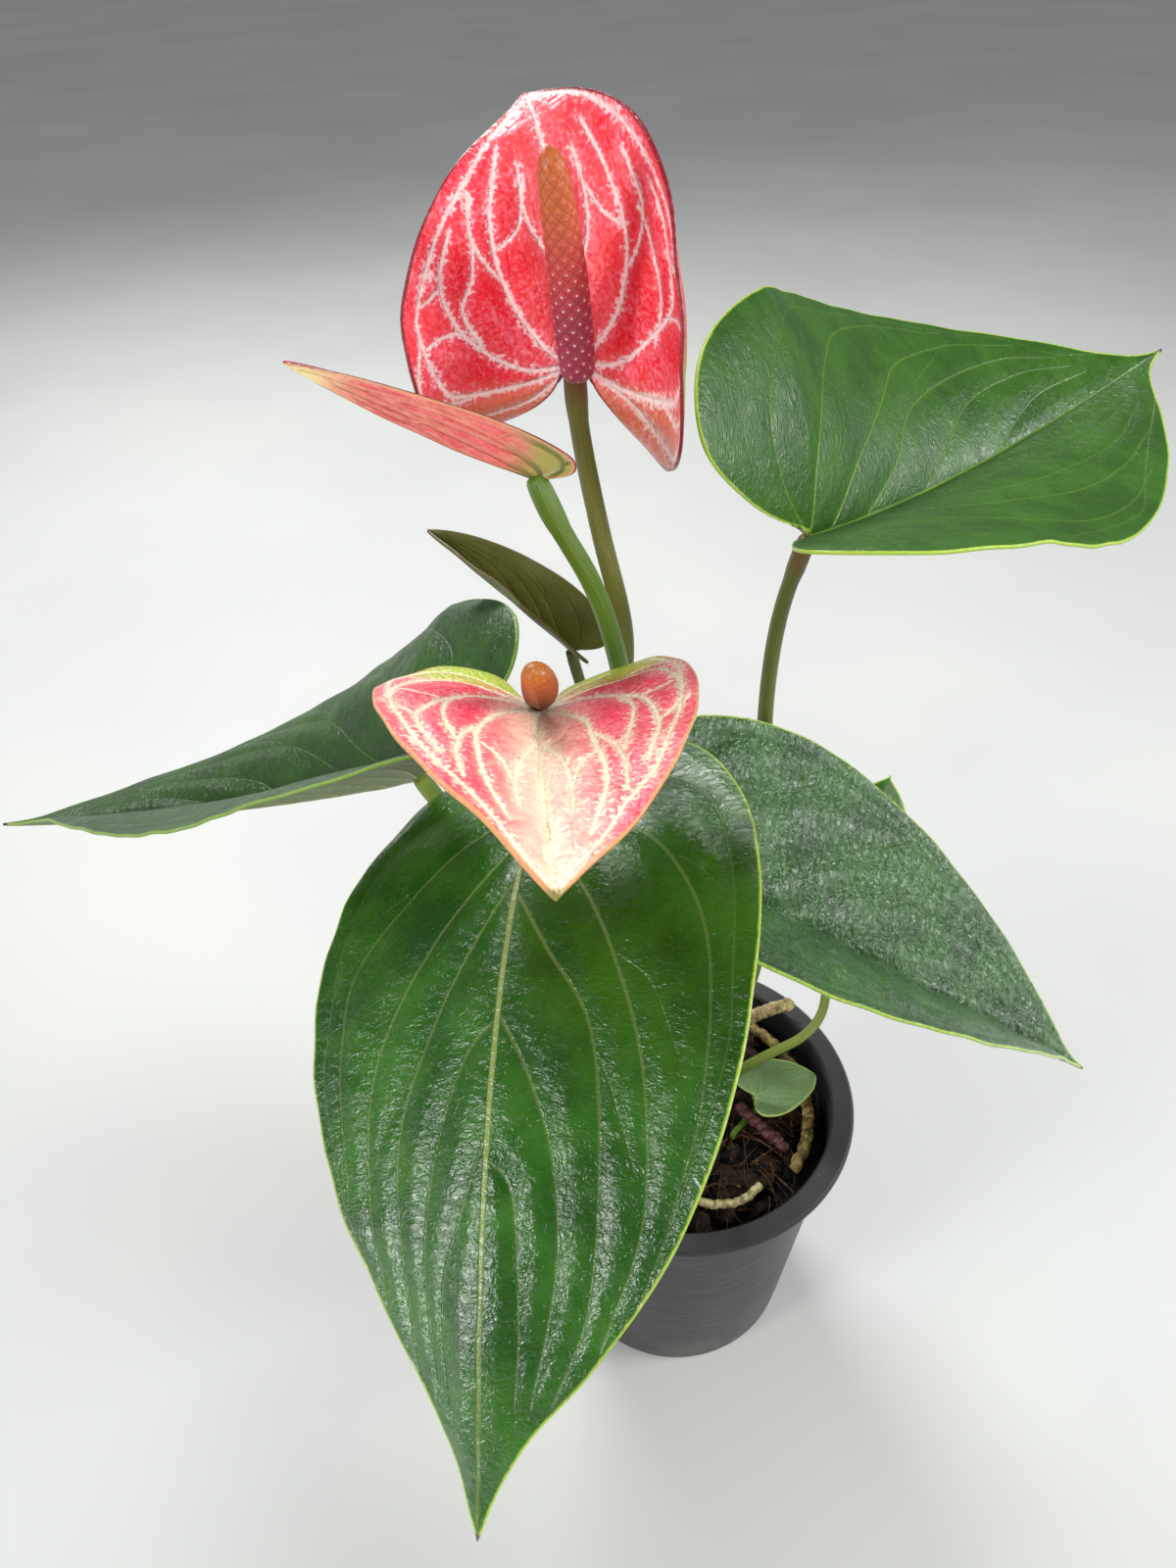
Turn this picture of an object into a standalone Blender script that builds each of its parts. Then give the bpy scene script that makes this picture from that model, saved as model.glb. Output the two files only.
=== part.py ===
"""Potted anthurium in a small black nursery pot.

Metres, +Z up. The origin is the middle of the pot's flat underside, and -Y is the front,
where the big drooping leaf and the low flower point.
"""

import math

import bmesh
import bpy
import numpy as np
from mathutils import Vector

# ---------------------------------------------------------------- driving dimensions
GAP = 0.0003                # between pieces that touch

POT_HEIGHT = 0.100
POT_RIM_RADIUS = 0.055      # outer edge of the lip
POT_BASE_RADIUS = 0.040
POT_WALL = 0.0015
POT_FLOOR = 0.0025
RIM_BAND_HEIGHT = 0.0076    # the collar under the lip
RIM_BAND_STEP = 0.0025      # how far the collar stands out of the tapered wall
LIP_WIDTH = 0.006
LIP_THICKNESS = 0.0022
DRAIN_HOLES = 6
DRAIN_HOLE_RADIUS = 0.004
DRAIN_RING_RADIUS = 0.024

HEADSPACE = 0.010           # from the lip down to the potting mix
CROWN_RADIUS = 0.0145
CROWN_ABOVE_SOIL = 0.006
CROWN_BELOW_SOIL = 0.014
STEM_RING_RADIUS = 0.76 * CROWN_RADIUS    # the stems' feet stand on this ring

BLADE_THICKNESS = 0.0009
SPATHE_THICKNESS = 0.0009
PETIOLE_RADIUS = 0.0026
PEDUNCLE_RADIUS = 0.0028
THIN_PETIOLE_RADIUS = 0.0016
STEM_TOP_SHARE = 0.8        # a stem's radius at its top, over that at its foot
SPADIX_RADIUS = 0.0042
ROOT_RADIUS = 0.0019

ROUND_STEPS = 40
STEM_POINTS = 15
BLADE_ROWS = 16             # along the midrib and the margin
BLADE_COLUMNS = 8           # from margin to margin

SOIL_LEVEL = POT_HEIGHT - HEADSPACE
CROWN_TOP = SOIL_LEVEL + CROWN_ABOVE_SOIL
WALL_TOP_RADIUS = POT_RIM_RADIUS - LIP_WIDTH / 2 - RIM_BAND_STEP
WALL_SLOPE = (WALL_TOP_RADIUS - POT_BASE_RADIUS) / (POT_HEIGHT - RIM_BAND_HEIGHT)
MIX_RADIUS = POT_BASE_RADIUS + WALL_SLOPE * SOIL_LEVEL - POT_WALL - 2 * GAP
BARE_MIX = MIX_RADIUS - CROWN_RADIUS    # the open ring of mix round the crown


def on_mix(share, degrees):
    """A place on the potting mix: share is 0 beside the crown and 1 at the mix's edge."""
    radius = CROWN_RADIUS + share * BARE_MIX
    return radius * math.cos(math.radians(degrees)), radius * math.sin(math.radians(degrees))


# Half outlines, from the joint round the basal lobe to the tip: (share of the half width,
# share of the length).
LEAF_HALF = (
    (0.03, 0.0), (0.14, -0.09), (0.38, -0.19), (0.70, -0.15), (0.93, 0.02), (1.0, 0.20),
    (0.92, 0.43), (0.71, 0.64), (0.42, 0.81), (0.17, 0.91), (0.05, 0.96), (0.0, 1.0),
)
TAPERED_HALF = (
    (0.03, 0.0), (0.14, -0.09), (0.38, -0.19), (0.70, -0.15), (0.93, 0.02), (1.0, 0.20),
    (0.93, 0.42), (0.72, 0.61), (0.40, 0.77), (0.18, 0.86), (0.07, 0.93), (0.0, 1.0),
)
DEEP_LOBED_HALF = (
    (0.03, 0.0), (0.14, -0.12), (0.40, -0.25), (0.74, -0.20), (0.96, 0.0), (1.0, 0.22),
    (0.90, 0.45), (0.68, 0.65), (0.40, 0.80), (0.15, 0.90), (0.05, 0.95), (0.0, 1.0),
)
SPATHE_HALF = (
    (0.05, 0.0), (0.14, -0.12), (0.38, -0.25), (0.70, -0.22), (0.94, -0.04), (1.0, 0.18),
    (0.88, 0.43), (0.63, 0.66), (0.34, 0.84), (0.11, 0.95), (0.0, 1.0),
)
SHORT_LOBED_HALF = (
    (0.05, 0.0), (0.20, -0.06), (0.50, -0.12), (0.80, -0.08), (0.98, 0.08), (1.0, 0.25),
    (0.85, 0.50), (0.60, 0.72), (0.32, 0.88), (0.10, 0.97), (0.0, 1.0),
)

# A blade's base is (x, y, height above the potting mix). Its heading is the compass angle
# of the midrib, clockwise from +Y seen from above. fold lifts each half out of the flat,
# and fade is how much of that fold is gone at the tip.
BLADES = {
    "leaf_front": dict(
        base=(-0.0395, -0.0181, 0.1462), heading=189, pitch=5, roll=-5, length=0.154,
        width=0.106, droop=68, sway=-17, twist=-11, fold=(8, -34), curl=(16, 3),
        fade=(0, 0), half=TAPERED_HALF,
    ),
    "leaf_right": dict(
        base=(0.0007, -0.0007, 0.1076), heading=94, pitch=-33, roll=7, length=0.138,
        width=0.103, droop=-4, sway=4, twist=14, fold=(29, 34), curl=(1, -8),
        fade=(0, 0), half=LEAF_HALF,
    ),
    "leaf_upper_right": dict(
        base=(0.0312, 0.0463, 0.1806), heading=43.5, pitch=-12, roll=25, length=0.169,
        width=0.131, droop=-35, sway=2, twist=3, fold=(57, 57), curl=(-40, -32),
        fade=(0.9, 0.5), half=DEEP_LOBED_HALF,
    ),
    "leaf_left": dict(
        base=(-0.0717, 0.0164, 0.1285), heading=304, pitch=-32, roll=-26, length=0.163,
        width=0.113, droop=-37, sway=-20, twist=-18, fold=(67, 44), curl=(-33, -64),
        fade=(0.4, 1.1), half=DEEP_LOBED_HALF,
    ),
    "leaf_young": dict(
        base=(-0.0305, 0.0374, 0.1541), heading=299, pitch=31, roll=-6, length=0.050,
        width=0.027, droop=0, sway=0, twist=0, fold=(52, 48), curl=(0, 0),
        fade=(0, 0), half=SHORT_LOBED_HALF,
    ),
    "leaf_back": dict(
        base=(0.0440, 0.0180, 0.0660), heading=28, pitch=20, roll=0, length=0.067,
        width=0.034, droop=22, sway=0, twist=0, fold=(14, 14), curl=(0, 0),
        fade=(0, 0), half=LEAF_HALF,
    ),
    "leaf_small": dict(
        base=(*on_mix(0.288, -4.8), 0.0090), heading=66, pitch=4, roll=-6,
        length=0.722 * BARE_MIX, width=0.722 * BARE_MIX, droop=20, sway=0, twist=0,
        fold=(10, 10), curl=(0, 0), fade=(0, 0), half=SHORT_LOBED_HALF,
    ),
    "spathe_top": dict(
        base=(-0.0276, 0.0403, 0.2285), heading=-7, pitch=82, roll=0, length=0.058,
        width=0.082, droop=75, sway=-15, twist=0, fold=(-13, 0), curl=(62, 115),
        fade=(0, 0), half=SPATHE_HALF, droop_from=4, lobe_bend=-50,
    ),
    "spathe_left": dict(
        base=(-0.0361, 0.0113, 0.2144), heading=282, pitch=16, roll=23, length=0.059,
        width=0.0185, droop=-12, sway=0, twist=0, fold=(49, 49), curl=(45, 40),
        fade=(0, 0), half=SHORT_LOBED_HALF,
    ),
    "spathe_front": dict(
        base=(-0.0370, -0.0217, 0.1766), heading=179.5, pitch=23.5, roll=-3, length=0.080,
        width=0.067, droop=16, sway=-7, twist=10, fold=(18, 21), curl=(7, -21),
        fade=(0, 0), half=SPATHE_HALF,
    ),
}

# A stem's foot stands on the crown's ring at this angle from +X. Its route passes through
# points (x, y, height above the potting mix) and ends under its blade.
STEMS = {
    "petiole_front": dict(
        foot=275, radius=PETIOLE_RADIUS, blade="leaf_front",
        route=((-0.012, -0.020, 0.060), (-0.030, -0.022, 0.112), (-0.038, -0.0195, 0.135)),
    ),
    "petiole_right": dict(
        foot=318, radius=PETIOLE_RADIUS, blade="leaf_right",
        route=((0.005, -0.006, 0.050), (0.001, -0.003, 0.092)),
    ),
    "petiole_upper_right": dict(
        foot=40, radius=PETIOLE_RADIUS, blade="leaf_upper_right",
        route=(
            (0.0255, 0.029, 0.034), (0.029, 0.044, 0.080), (0.025, 0.0475, 0.121),
            (0.0262, 0.047, 0.158),
        ),
    ),
    "petiole_left": dict(
        foot=195, radius=PETIOLE_RADIUS, blade="leaf_left",
        route=((-0.025, 0.002, 0.035), (-0.050, 0.014, 0.076), (-0.0675, 0.0165, 0.1205)),
    ),
    "petiole_young": dict(
        foot=118, radius=THIN_PETIOLE_RADIUS, blade="leaf_young",
        route=((-0.014, 0.021, 0.070), (-0.0245, 0.031, 0.130)),
    ),
    "petiole_back": dict(
        foot=0, radius=THIN_PETIOLE_RADIUS, blade="leaf_back",
        route=(
            (0.0189, 0.0015, 0.018), (0.0290, 0.0010, 0.028), (0.0373, 0.0005, 0.036),
            (0.0425, 0.0030, 0.044), (0.0440, 0.0120, 0.058),
        ),
    ),
    "peduncle_top": dict(
        foot=82, radius=PEDUNCLE_RADIUS, blade="spathe_top",
        route=(
            (-0.012, 0.024, 0.090), (-0.0180, 0.028, 0.138), (-0.0167, 0.026, 0.165),
            (-0.0225, 0.033, 0.1914), (-0.0272, 0.0395, 0.217),
        ),
    ),
    "peduncle_left": dict(
        foot=155, radius=PEDUNCLE_RADIUS, blade="spathe_left",
        route=(
            (-0.0140, 0.013, 0.090), (-0.0175, 0.016, 0.148), (-0.0187, 0.010, 0.1668),
            (-0.0246, 0.0085, 0.1900), (-0.0324, 0.0095, 0.2050),
        ),
    ),
    "peduncle_front": dict(
        foot=235, radius=PEDUNCLE_RADIUS, blade="spathe_front",
        route=(
            (-0.025, -0.010, 0.055), (-0.036, -0.004, 0.112), (-0.0385, 0.000, 0.148),
            (-0.0378, -0.012, 0.167),
        ),
    ),
}

# A spadix leaves its spathe in this direction; stand_off lifts its foot clear of the fold.
SPADICES = {
    "spadix_top": dict(
        spathe="spathe_top", direction=(-0.10, -0.22, 1.0), length=0.047,
        radius=SPADIX_RADIUS, stand_off=0.0045,
    ),
    "spadix_left": dict(
        spathe="spathe_left", direction=(-0.912, 0.227, 0.342), length=0.024,
        radius=0.32 * SPADIX_RADIUS, stand_off=0.0040,
    ),
    "spadix_front": dict(
        spathe="spathe_front", direction=(0.0, -0.74, 0.67), length=0.028,
        radius=0.9 * SPADIX_RADIUS, stand_off=0.0036,
    ),
}

# Pieces lying on the potting mix pass through (share, degrees, rise): share runs from the
# crown to the mix's edge, degrees from +X, and rise is how far the piece is lifted.
RIM_ROOT_SPAN = (-36, 48)   # degrees
RIM_ROOT_RING = 1 - 3 * ROOT_RADIUS / BARE_MIX
RED_ROOT_END = RIM_ROOT_RING - 2.75 * ROOT_RADIUS / BARE_MIX    # stops short of the rim root
FRONT_ROOT = ((0.487, -97.1, 0.0), (0.646, -80.9, 0.001), (0.706, -65.5, 0.0), (0.684, -52.5, 0.0))
RED_ROOT = ((0.145, -13.5, 0.005), (0.388, -21.0, 0.0015), (RED_ROOT_END, -27.3, 0.0))
OLD_STALK = ((0.166, 54.1, 0.001), (0.460, 51.1, 0.007), (0.783, 43.1, 0.0115), (1.061, 37.2, 0.013))
THIN_ROOT_SHARE = 0.75      # of ROOT_RADIUS
STALK_SHARE = 1.2           # of ROOT_RADIUS

SMALL_PETIOLE_SHARE = 0.6   # of THIN_PETIOLE_RADIUS
SMALL_PETIOLE_FOOT = (0.161, -33.8)
SMALL_PETIOLE_NECK = 0.006

GREEN = (0.045, 0.16, 0.03, 1.0)
STEM_GREEN = (0.22, 0.38, 0.06, 1.0)
RED = (0.75, 0.06, 0.09, 1.0)
SPADIX_ORANGE = (0.55, 0.17, 0.06, 1.0)
BLACK = (0.02, 0.02, 0.022, 1.0)
PEAT = (0.05, 0.032, 0.022, 1.0)
ROOT_BROWN = (0.40, 0.30, 0.14, 1.0)
RED_BROWN = (0.22, 0.05, 0.05, 1.0)
DRY_STRAW = (0.55, 0.45, 0.26, 1.0)


# ---------------------------------------------------------------- helpers
def clear_scene():
    for obj in list(bpy.data.objects):
        bpy.data.objects.remove(obj, do_unlink=True)


def material(name, colour, roughness, metallic=0.0):
    mat = bpy.data.materials.get(name) or bpy.data.materials.new(name)
    mat.use_nodes = True
    shader = mat.node_tree.nodes["Principled BSDF"]
    shader.inputs["Base Color"].default_value = colour
    shader.inputs["Roughness"].default_value = roughness
    shader.inputs["Metallic"].default_value = metallic
    return mat


def add_object(name, data, mat):
    obj = bpy.data.objects.new(name, data)
    bpy.context.scene.collection.objects.link(obj)
    data.materials.append(mat)
    return obj


def mesh_object(name, bm, mat, smooth_angle=math.radians(40)):
    mesh = bpy.data.meshes.new(name)
    bm.to_mesh(mesh)
    bm.free()
    mesh.shade_smooth()
    mesh.set_sharp_from_angle(angle=smooth_angle)
    return add_object(name, mesh, mat)


def smooth_curve(points, count):
    """Catmull-Rom curve through the points, at even steps of its own length."""
    points = np.array(points, float)
    ends = (2 * points[0] - points[1], 2 * points[-1] - points[-2])
    padded = np.vstack([ends[0], points, ends[1]])
    steps = np.maximum(np.linalg.norm(np.diff(padded, axis=0), axis=1), 1e-9) ** 0.5
    knots = np.concatenate([[0.0], np.cumsum(steps)])
    found = []
    for t in np.linspace(knots[1], knots[-2], 30 * len(points)):
        i = int(np.clip(np.searchsorted(knots, t, side="right") - 1, 1, len(points) - 1))
        k = knots[i - 1:i + 3]
        p = padded[i - 1:i + 3]
        first = [
            (k[j + 1] - t) / (k[j + 1] - k[j]) * p[j] + (t - k[j]) / (k[j + 1] - k[j]) * p[j + 1]
            for j in range(3)
        ]
        second = [
            (k[j + 2] - t) / (k[j + 2] - k[j]) * first[j]
            + (t - k[j]) / (k[j + 2] - k[j]) * first[j + 1]
            for j in range(2)
        ]
        found.append((k[2] - t) / (k[2] - k[1]) * second[0] + (t - k[1]) / (k[2] - k[1]) * second[1])
    found = np.array(found)
    run = np.concatenate([[0.0], np.cumsum(np.linalg.norm(np.diff(found, axis=0), axis=1))])
    even = np.linspace(0.0, run[-1], count)
    return np.stack([np.interp(even, run, found[:, axis]) for axis in range(points.shape[1])], -1)


def rod(name, points, radii, mat):
    """A closed round rod along the points, with a radius at each one."""
    curve = bpy.data.curves.new(name, "CURVE")
    curve.dimensions = "3D"
    curve.bevel_depth = 1.0
    curve.bevel_resolution = 2
    curve.use_fill_caps = True
    spline = curve.splines.new("POLY")
    spline.points.add(len(points) - 1)
    for place, point, radius in zip(spline.points, points, radii):
        place.co = (*point, 1.0)
        place.radius = radius
    return add_object(name, curve, mat)


def spin_profile(name, profile, mat):
    """Turns a closed (radius, height) outline round Z."""
    bm = bmesh.new()
    corners = [bm.verts.new((radius, 0.0, height)) for radius, height in profile]
    edges = [bm.edges.new(pair) for pair in zip(corners, corners[1:])]
    if profile[0][0] > 0 or profile[-1][0] > 0:
        edges.append(bm.edges.new((corners[-1], corners[0])))
    bmesh.ops.spin(
        bm, geom=corners + edges, cent=(0, 0, 0), axis=(0, 0, 1), angle=math.tau,
        steps=ROUND_STEPS, use_merge=True,
    )
    bmesh.ops.remove_doubles(bm, verts=bm.verts, dist=1e-6)
    bmesh.ops.recalc_face_normals(bm, faces=bm.faces)
    return mesh_object(name, bm, mat)


# ---------------------------------------------------------------- blades
def above_soil(point):
    return np.array((point[0], point[1], SOIL_LEVEL + point[2]))


def turned(axis, degrees):
    c, s = math.cos(math.radians(degrees)), math.sin(math.radians(degrees))
    turns = {
        "x": ((1, 0, 0), (0, c, -s), (0, s, c)),
        "y": ((c, 0, s), (0, 1, 0), (-s, 0, c)),
        "z": ((c, -s, 0), (s, c, 0), (0, 0, 1)),
    }
    return np.array(turns[axis])


def blade_turn(blade):
    """Takes the flat blade (midrib along +Y, upper side +Z) to where it grows."""
    return turned("z", -blade["heading"]) @ turned("x", blade["pitch"]) @ turned("y", blade["roll"])


def midrib_frames(blade, along):
    """The bent midrib at each distance along it: centre, right, forward and up vectors."""
    length = blade["length"]
    table = np.linspace(-0.35 * length, length, 136)
    grown = np.clip(table / length, 0.0, None)
    pitch = -np.radians(blade["droop"]) * grown ** blade.get("droop_from", 1.0)
    behind = np.clip(-table / length, 0.0, None)
    pitch -= np.radians(blade.get("lobe_bend", 0.0)) * behind / LOBE_REACH
    yaw = np.radians(blade["sway"]) * grown
    forward = np.stack(
        [np.sin(yaw) * np.cos(pitch), np.cos(yaw) * np.cos(pitch), np.sin(pitch)], -1
    )
    steps = (forward[1:] + forward[:-1]) / 2 * np.diff(table)[:, None]
    centre = np.concatenate([np.zeros((1, 3)), np.cumsum(steps, 0)])
    start = [np.interp(0.0, table, centre[:, k]) for k in range(3)]
    place = np.stack([np.interp(along, table, centre[:, k]) - start[k] for k in range(3)], -1)
    pitch = np.interp(along, table, pitch)
    yaw = np.interp(along, table, yaw)
    twist = np.radians(blade["twist"]) * np.clip(along / length, 0.0, None)
    forward = np.stack(
        [np.sin(yaw) * np.cos(pitch), np.cos(yaw) * np.cos(pitch), np.sin(pitch)], -1
    )
    level = np.stack([np.cos(yaw), -np.sin(yaw), 0.0 * yaw], -1)
    upright = np.cross(level, forward)
    c, s = np.cos(twist)[:, None], np.sin(twist)[:, None]
    return place, level * c + upright * s, forward, upright * c - level * s


def bent(blade, across, along):
    """World places of flat blade points (across the midrib, along it)."""
    place, right, _, up = midrib_frames(blade, along)
    half_width = blade["width"] / 2
    grown = np.clip(along / blade["length"], 0.0, 1.0)
    side = (across > 0).astype(int)
    fold = np.radians(np.array(blade["fold"]))[side] * (1 - np.array(blade["fade"])[side] * grown)
    curl = np.radians(np.array(blade["curl"]))[side] / half_width
    curl = np.where(np.abs(curl) < 1e-6, 1e-6, curl)
    reach = np.abs(across)
    out = (np.sin(fold + curl * reach) - np.sin(fold)) / curl * np.sign(across)
    lift = (np.cos(fold) - np.cos(fold + curl * reach)) / curl
    local = place + right * out[:, None] + up * lift[:, None]
    return above_soil(blade["base"]) + local @ blade_turn(blade).T


LOBE_REACH = 0.25   # how far back, in blade lengths, the lobe bend is measured
VEIN_START = 0.42   # the share of the outline that fans out of the joint


def flat_blade(blade, row, column):
    """Flat place of a grid point: row 0..1 from joint to tip, column -1..1 across."""
    outline = smooth_curve(blade["half"], 97)
    steps = np.linspace(0.0, 1.0, len(outline))
    edge_out = np.interp(row, steps, outline[:, 0])
    edge_along = np.interp(row, steps, outline[:, 1])
    rib_along = np.clip((row - VEIN_START) / (1 - VEIN_START), 0.0, 1.0) ** 1.15
    reach = np.abs(column)
    out = edge_out * (1 - (1 - reach) ** 1.3) * np.sign(column) * blade["width"] / 2
    along = rib_along + (edge_along - rib_along) * reach ** 1.3
    return out, along * blade["length"]


def make_blade(name, thickness, mat):
    """A cordate blade: a grid laid on the outline, bent along its midrib and thickened."""
    blade = BLADES[name]
    bm = bmesh.new()
    bmesh.ops.create_grid(bm, x_segments=BLADE_COLUMNS, y_segments=BLADE_ROWS, size=1.0)
    grid = np.array([vert.co for vert in bm.verts])
    across, along = flat_blade(blade, (grid[:, 1] + 1) / 2, grid[:, 0])
    for vert, place in zip(bm.verts, bent(blade, across, along)):
        vert.co = place
    bmesh.ops.remove_doubles(bm, verts=bm.verts, dist=2e-5)
    obj = mesh_object(name, bm, mat, math.radians(60))
    wall = obj.modifiers.new("wall", "SOLIDIFY")
    wall.thickness = thickness
    wall.offset = 0.0
    return obj


# ---------------------------------------------------------------- stems
def joint_of(blade, thickness, radius):
    """Where a stem meets the underside of the blade, and the blade's upward direction there."""
    up = blade_turn(blade) @ np.array((0.0, 0.0, 1.0))
    sag = math.radians(max(0.0, -min(blade["fold"])))
    return above_soil(blade["base"]) - up * (thickness / 2 + GAP + radius * math.tan(sag)), up


def make_stem(name, mat):
    stem = STEMS[name]
    radius = stem["radius"]
    angle = math.radians(stem["foot"])
    foot = np.array(
        (STEM_RING_RADIUS * math.cos(angle), STEM_RING_RADIUS * math.sin(angle), CROWN_TOP + GAP)
    )
    top_radius = STEM_TOP_SHARE * radius
    end, up = joint_of(BLADES[stem["blade"]], BLADE_THICKNESS, top_radius)
    neck = end - up * radius
    # The first and last short stretches are straight, so both ends lie flat on what they meet.
    route = [foot + (0, 0, radius)]
    route += [above_soil(point) for point in stem["route"]]
    route += [neck]
    points = [foot] + list(smooth_curve(route, STEM_POINTS)) + [end]
    shares = np.linspace(1.0, STEM_TOP_SHARE, len(points))
    rod(name, points, radius * shares, mat)


def make_spadix(name, mat):
    spadix = SPADICES[name]
    blade = BLADES[spadix["spathe"]]
    up = blade_turn(blade) @ np.array((0.0, 0.0, 1.0))
    axis = np.array(spadix["direction"])
    axis = axis / np.linalg.norm(axis)
    foot = above_soil(blade["base"]) + up * (SPATHE_THICKNESS / 2 + GAP + spadix["stand_off"])
    shares = (0.0, 0.04, 0.35, 0.7, 0.9, 0.97, 1.0)
    swell = (0.75, 0.92, 1.0, 0.86, 0.7, 0.5, 0.15)
    points = [foot + axis * spadix["length"] * share for share in shares]
    rod(name, points, [spadix["radius"] * share for share in swell], mat)


# ---------------------------------------------------------------- pot and potting mix
def wall_radius(height):
    """Outer radius of the tapered wall under the collar."""
    return POT_BASE_RADIUS + WALL_SLOPE * height


def inner_radius(height):
    return wall_radius(min(height, POT_HEIGHT - RIM_BAND_HEIGHT)) - POT_WALL


def make_pot():
    collar = POT_RIM_RADIUS - LIP_WIDTH / 2
    band_foot = POT_HEIGHT - RIM_BAND_HEIGHT
    top_inner = inner_radius(POT_HEIGHT)
    profile = [
        (0.0, 0.0),
        (wall_radius(0) - 0.001, 0.0),
        (wall_radius(0), 0.001),
        (wall_radius(band_foot), band_foot - RIM_BAND_STEP / 2),
        (collar, band_foot),
        (collar, POT_HEIGHT - LIP_THICKNESS),
        (POT_RIM_RADIUS, POT_HEIGHT - LIP_THICKNESS),
        (POT_RIM_RADIUS, POT_HEIGHT - LIP_THICKNESS / 3),
        (POT_RIM_RADIUS - LIP_THICKNESS / 3, POT_HEIGHT),
        (top_inner + LIP_THICKNESS / 3, POT_HEIGHT),
        (top_inner, POT_HEIGHT - LIP_THICKNESS / 3),
        (inner_radius(band_foot), band_foot),
        (inner_radius(POT_FLOOR), POT_FLOOR),
        (0.0, POT_FLOOR),
    ]
    pot = spin_profile("pot", profile, material("pot_plastic", BLACK, 0.42))
    for index in range(DRAIN_HOLES):
        angle = math.tau * index / DRAIN_HOLES
        bm = bmesh.new()
        bmesh.ops.create_cone(
            bm, cap_ends=True, segments=12, radius1=DRAIN_HOLE_RADIUS,
            radius2=DRAIN_HOLE_RADIUS, depth=4 * POT_FLOOR,
        )
        place = Vector((math.cos(angle), math.sin(angle), 0.0)) * DRAIN_RING_RADIUS
        bmesh.ops.translate(bm, verts=bm.verts, vec=place + Vector((0, 0, POT_FLOOR / 2)))
        cutter = mesh_object(f"drain_cutter_{index}", bm, material("cutter", BLACK, 1.0))
        cutter.hide_render = True
        cutter.display_type = "WIRE"
        cut = pot.modifiers.new(f"drain_{index}", "BOOLEAN")
        cut.object = cutter
        cut.operation = "DIFFERENCE"


def make_crown():
    bottom = SOIL_LEVEL - CROWN_BELOW_SOIL
    profile = [
        (0.0, bottom),
        (0.6 * CROWN_RADIUS, bottom),
        (0.9 * CROWN_RADIUS, bottom + 0.3 * CROWN_BELOW_SOIL),
        (CROWN_RADIUS, SOIL_LEVEL),
        (CROWN_RADIUS, CROWN_TOP - 0.2 * CROWN_ABOVE_SOIL),
        (0.96 * CROWN_RADIUS, CROWN_TOP),
        (0.0, CROWN_TOP),
    ]
    spin_profile("crown", profile, material("crown_green", STEM_GREEN, 0.6))


def make_potting_mix():
    bottom = POT_FLOOR + GAP
    crown_foot = SOIL_LEVEL - CROWN_BELOW_SOIL
    socket = 2 * GAP
    # The side stays a gap inside the pot's wall, measured square to its slope.
    profile = [
        (0.0, bottom),
        (inner_radius(bottom) - 2 * GAP, bottom),
        (inner_radius(SOIL_LEVEL) - 2 * GAP, SOIL_LEVEL - 0.001),
        (inner_radius(SOIL_LEVEL) - 2 * GAP - 0.001, SOIL_LEVEL),
        (CROWN_RADIUS + socket, SOIL_LEVEL),
        (0.9 * CROWN_RADIUS + socket, crown_foot + 0.3 * CROWN_BELOW_SOIL),
        (0.6 * CROWN_RADIUS + socket, crown_foot - socket),
        (0.0, crown_foot - socket),
    ]
    spin_profile("potting_mix", profile, material("peat", PEAT, 0.95))


# ---------------------------------------------------------------- pieces on the potting mix
def lying(points, radius):
    """The middle of a round piece resting on the mix, at each (share, degrees, rise)."""
    return [
        np.array((*on_mix(share, degrees), SOIL_LEVEL + GAP + radius + rise))
        for share, degrees, rise in points
    ]


def lie(name, route, radius, count, mat):
    rod(name, smooth_curve(lying(route, radius), count), [radius] * count, mat)


def make_surface_pieces():
    root = material("root_tan", ROOT_BROWN, 0.7)
    rim_root = [(RIM_ROOT_RING, degrees, 0.0) for degrees in np.linspace(*RIM_ROOT_SPAN, 8)]
    lie("rim_root", rim_root, ROOT_RADIUS, 14, root)
    lie("front_root", FRONT_ROOT, THIN_ROOT_SHARE * ROOT_RADIUS, 10, root)
    lie("red_root", RED_ROOT, ROOT_RADIUS, 9, material("red_stem", RED_BROWN, 0.5))
    stalk = material("dry_stalk", DRY_STRAW, 0.8)
    lie("old_stalk", OLD_STALK, STALK_SHARE * ROOT_RADIUS, 10, stalk)


def make_small_petiole():
    """The smallest leaf comes straight out of the potting mix beside the crown."""
    radius = SMALL_PETIOLE_SHARE * THIN_PETIOLE_RADIUS
    end, up = joint_of(BLADES["leaf_small"], BLADE_THICKNESS, radius)
    foot = np.array((*on_mix(*SMALL_PETIOLE_FOOT), SOIL_LEVEL + GAP))
    route = [foot + (0, 0, 2 * radius), end - up * SMALL_PETIOLE_NECK, end - up * radius]
    points = [foot] + list(smooth_curve(route, 8)) + [end]
    rod("petiole_small", points, [radius] * 10, material("stem_green", STEM_GREEN, 0.45))


# ---------------------------------------------------------------- assembly
clear_scene()
make_pot()
make_potting_mix()
make_crown()
make_surface_pieces()
make_small_petiole()
leaf_mat = material("leaf_green", GREEN, 0.35)
spathe_mat = material("spathe_red", RED, 0.3)
for blade_name in BLADES:
    if blade_name.startswith("leaf"):
        make_blade(blade_name, BLADE_THICKNESS, leaf_mat)
    else:
        make_blade(blade_name, SPATHE_THICKNESS, spathe_mat)
for stem_name in STEMS:
    make_stem(stem_name, material("stem_green", STEM_GREEN, 0.45))
for spadix_name in SPADICES:
    make_spadix(spadix_name, material("spadix_orange", SPADIX_ORANGE, 0.5))
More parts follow.
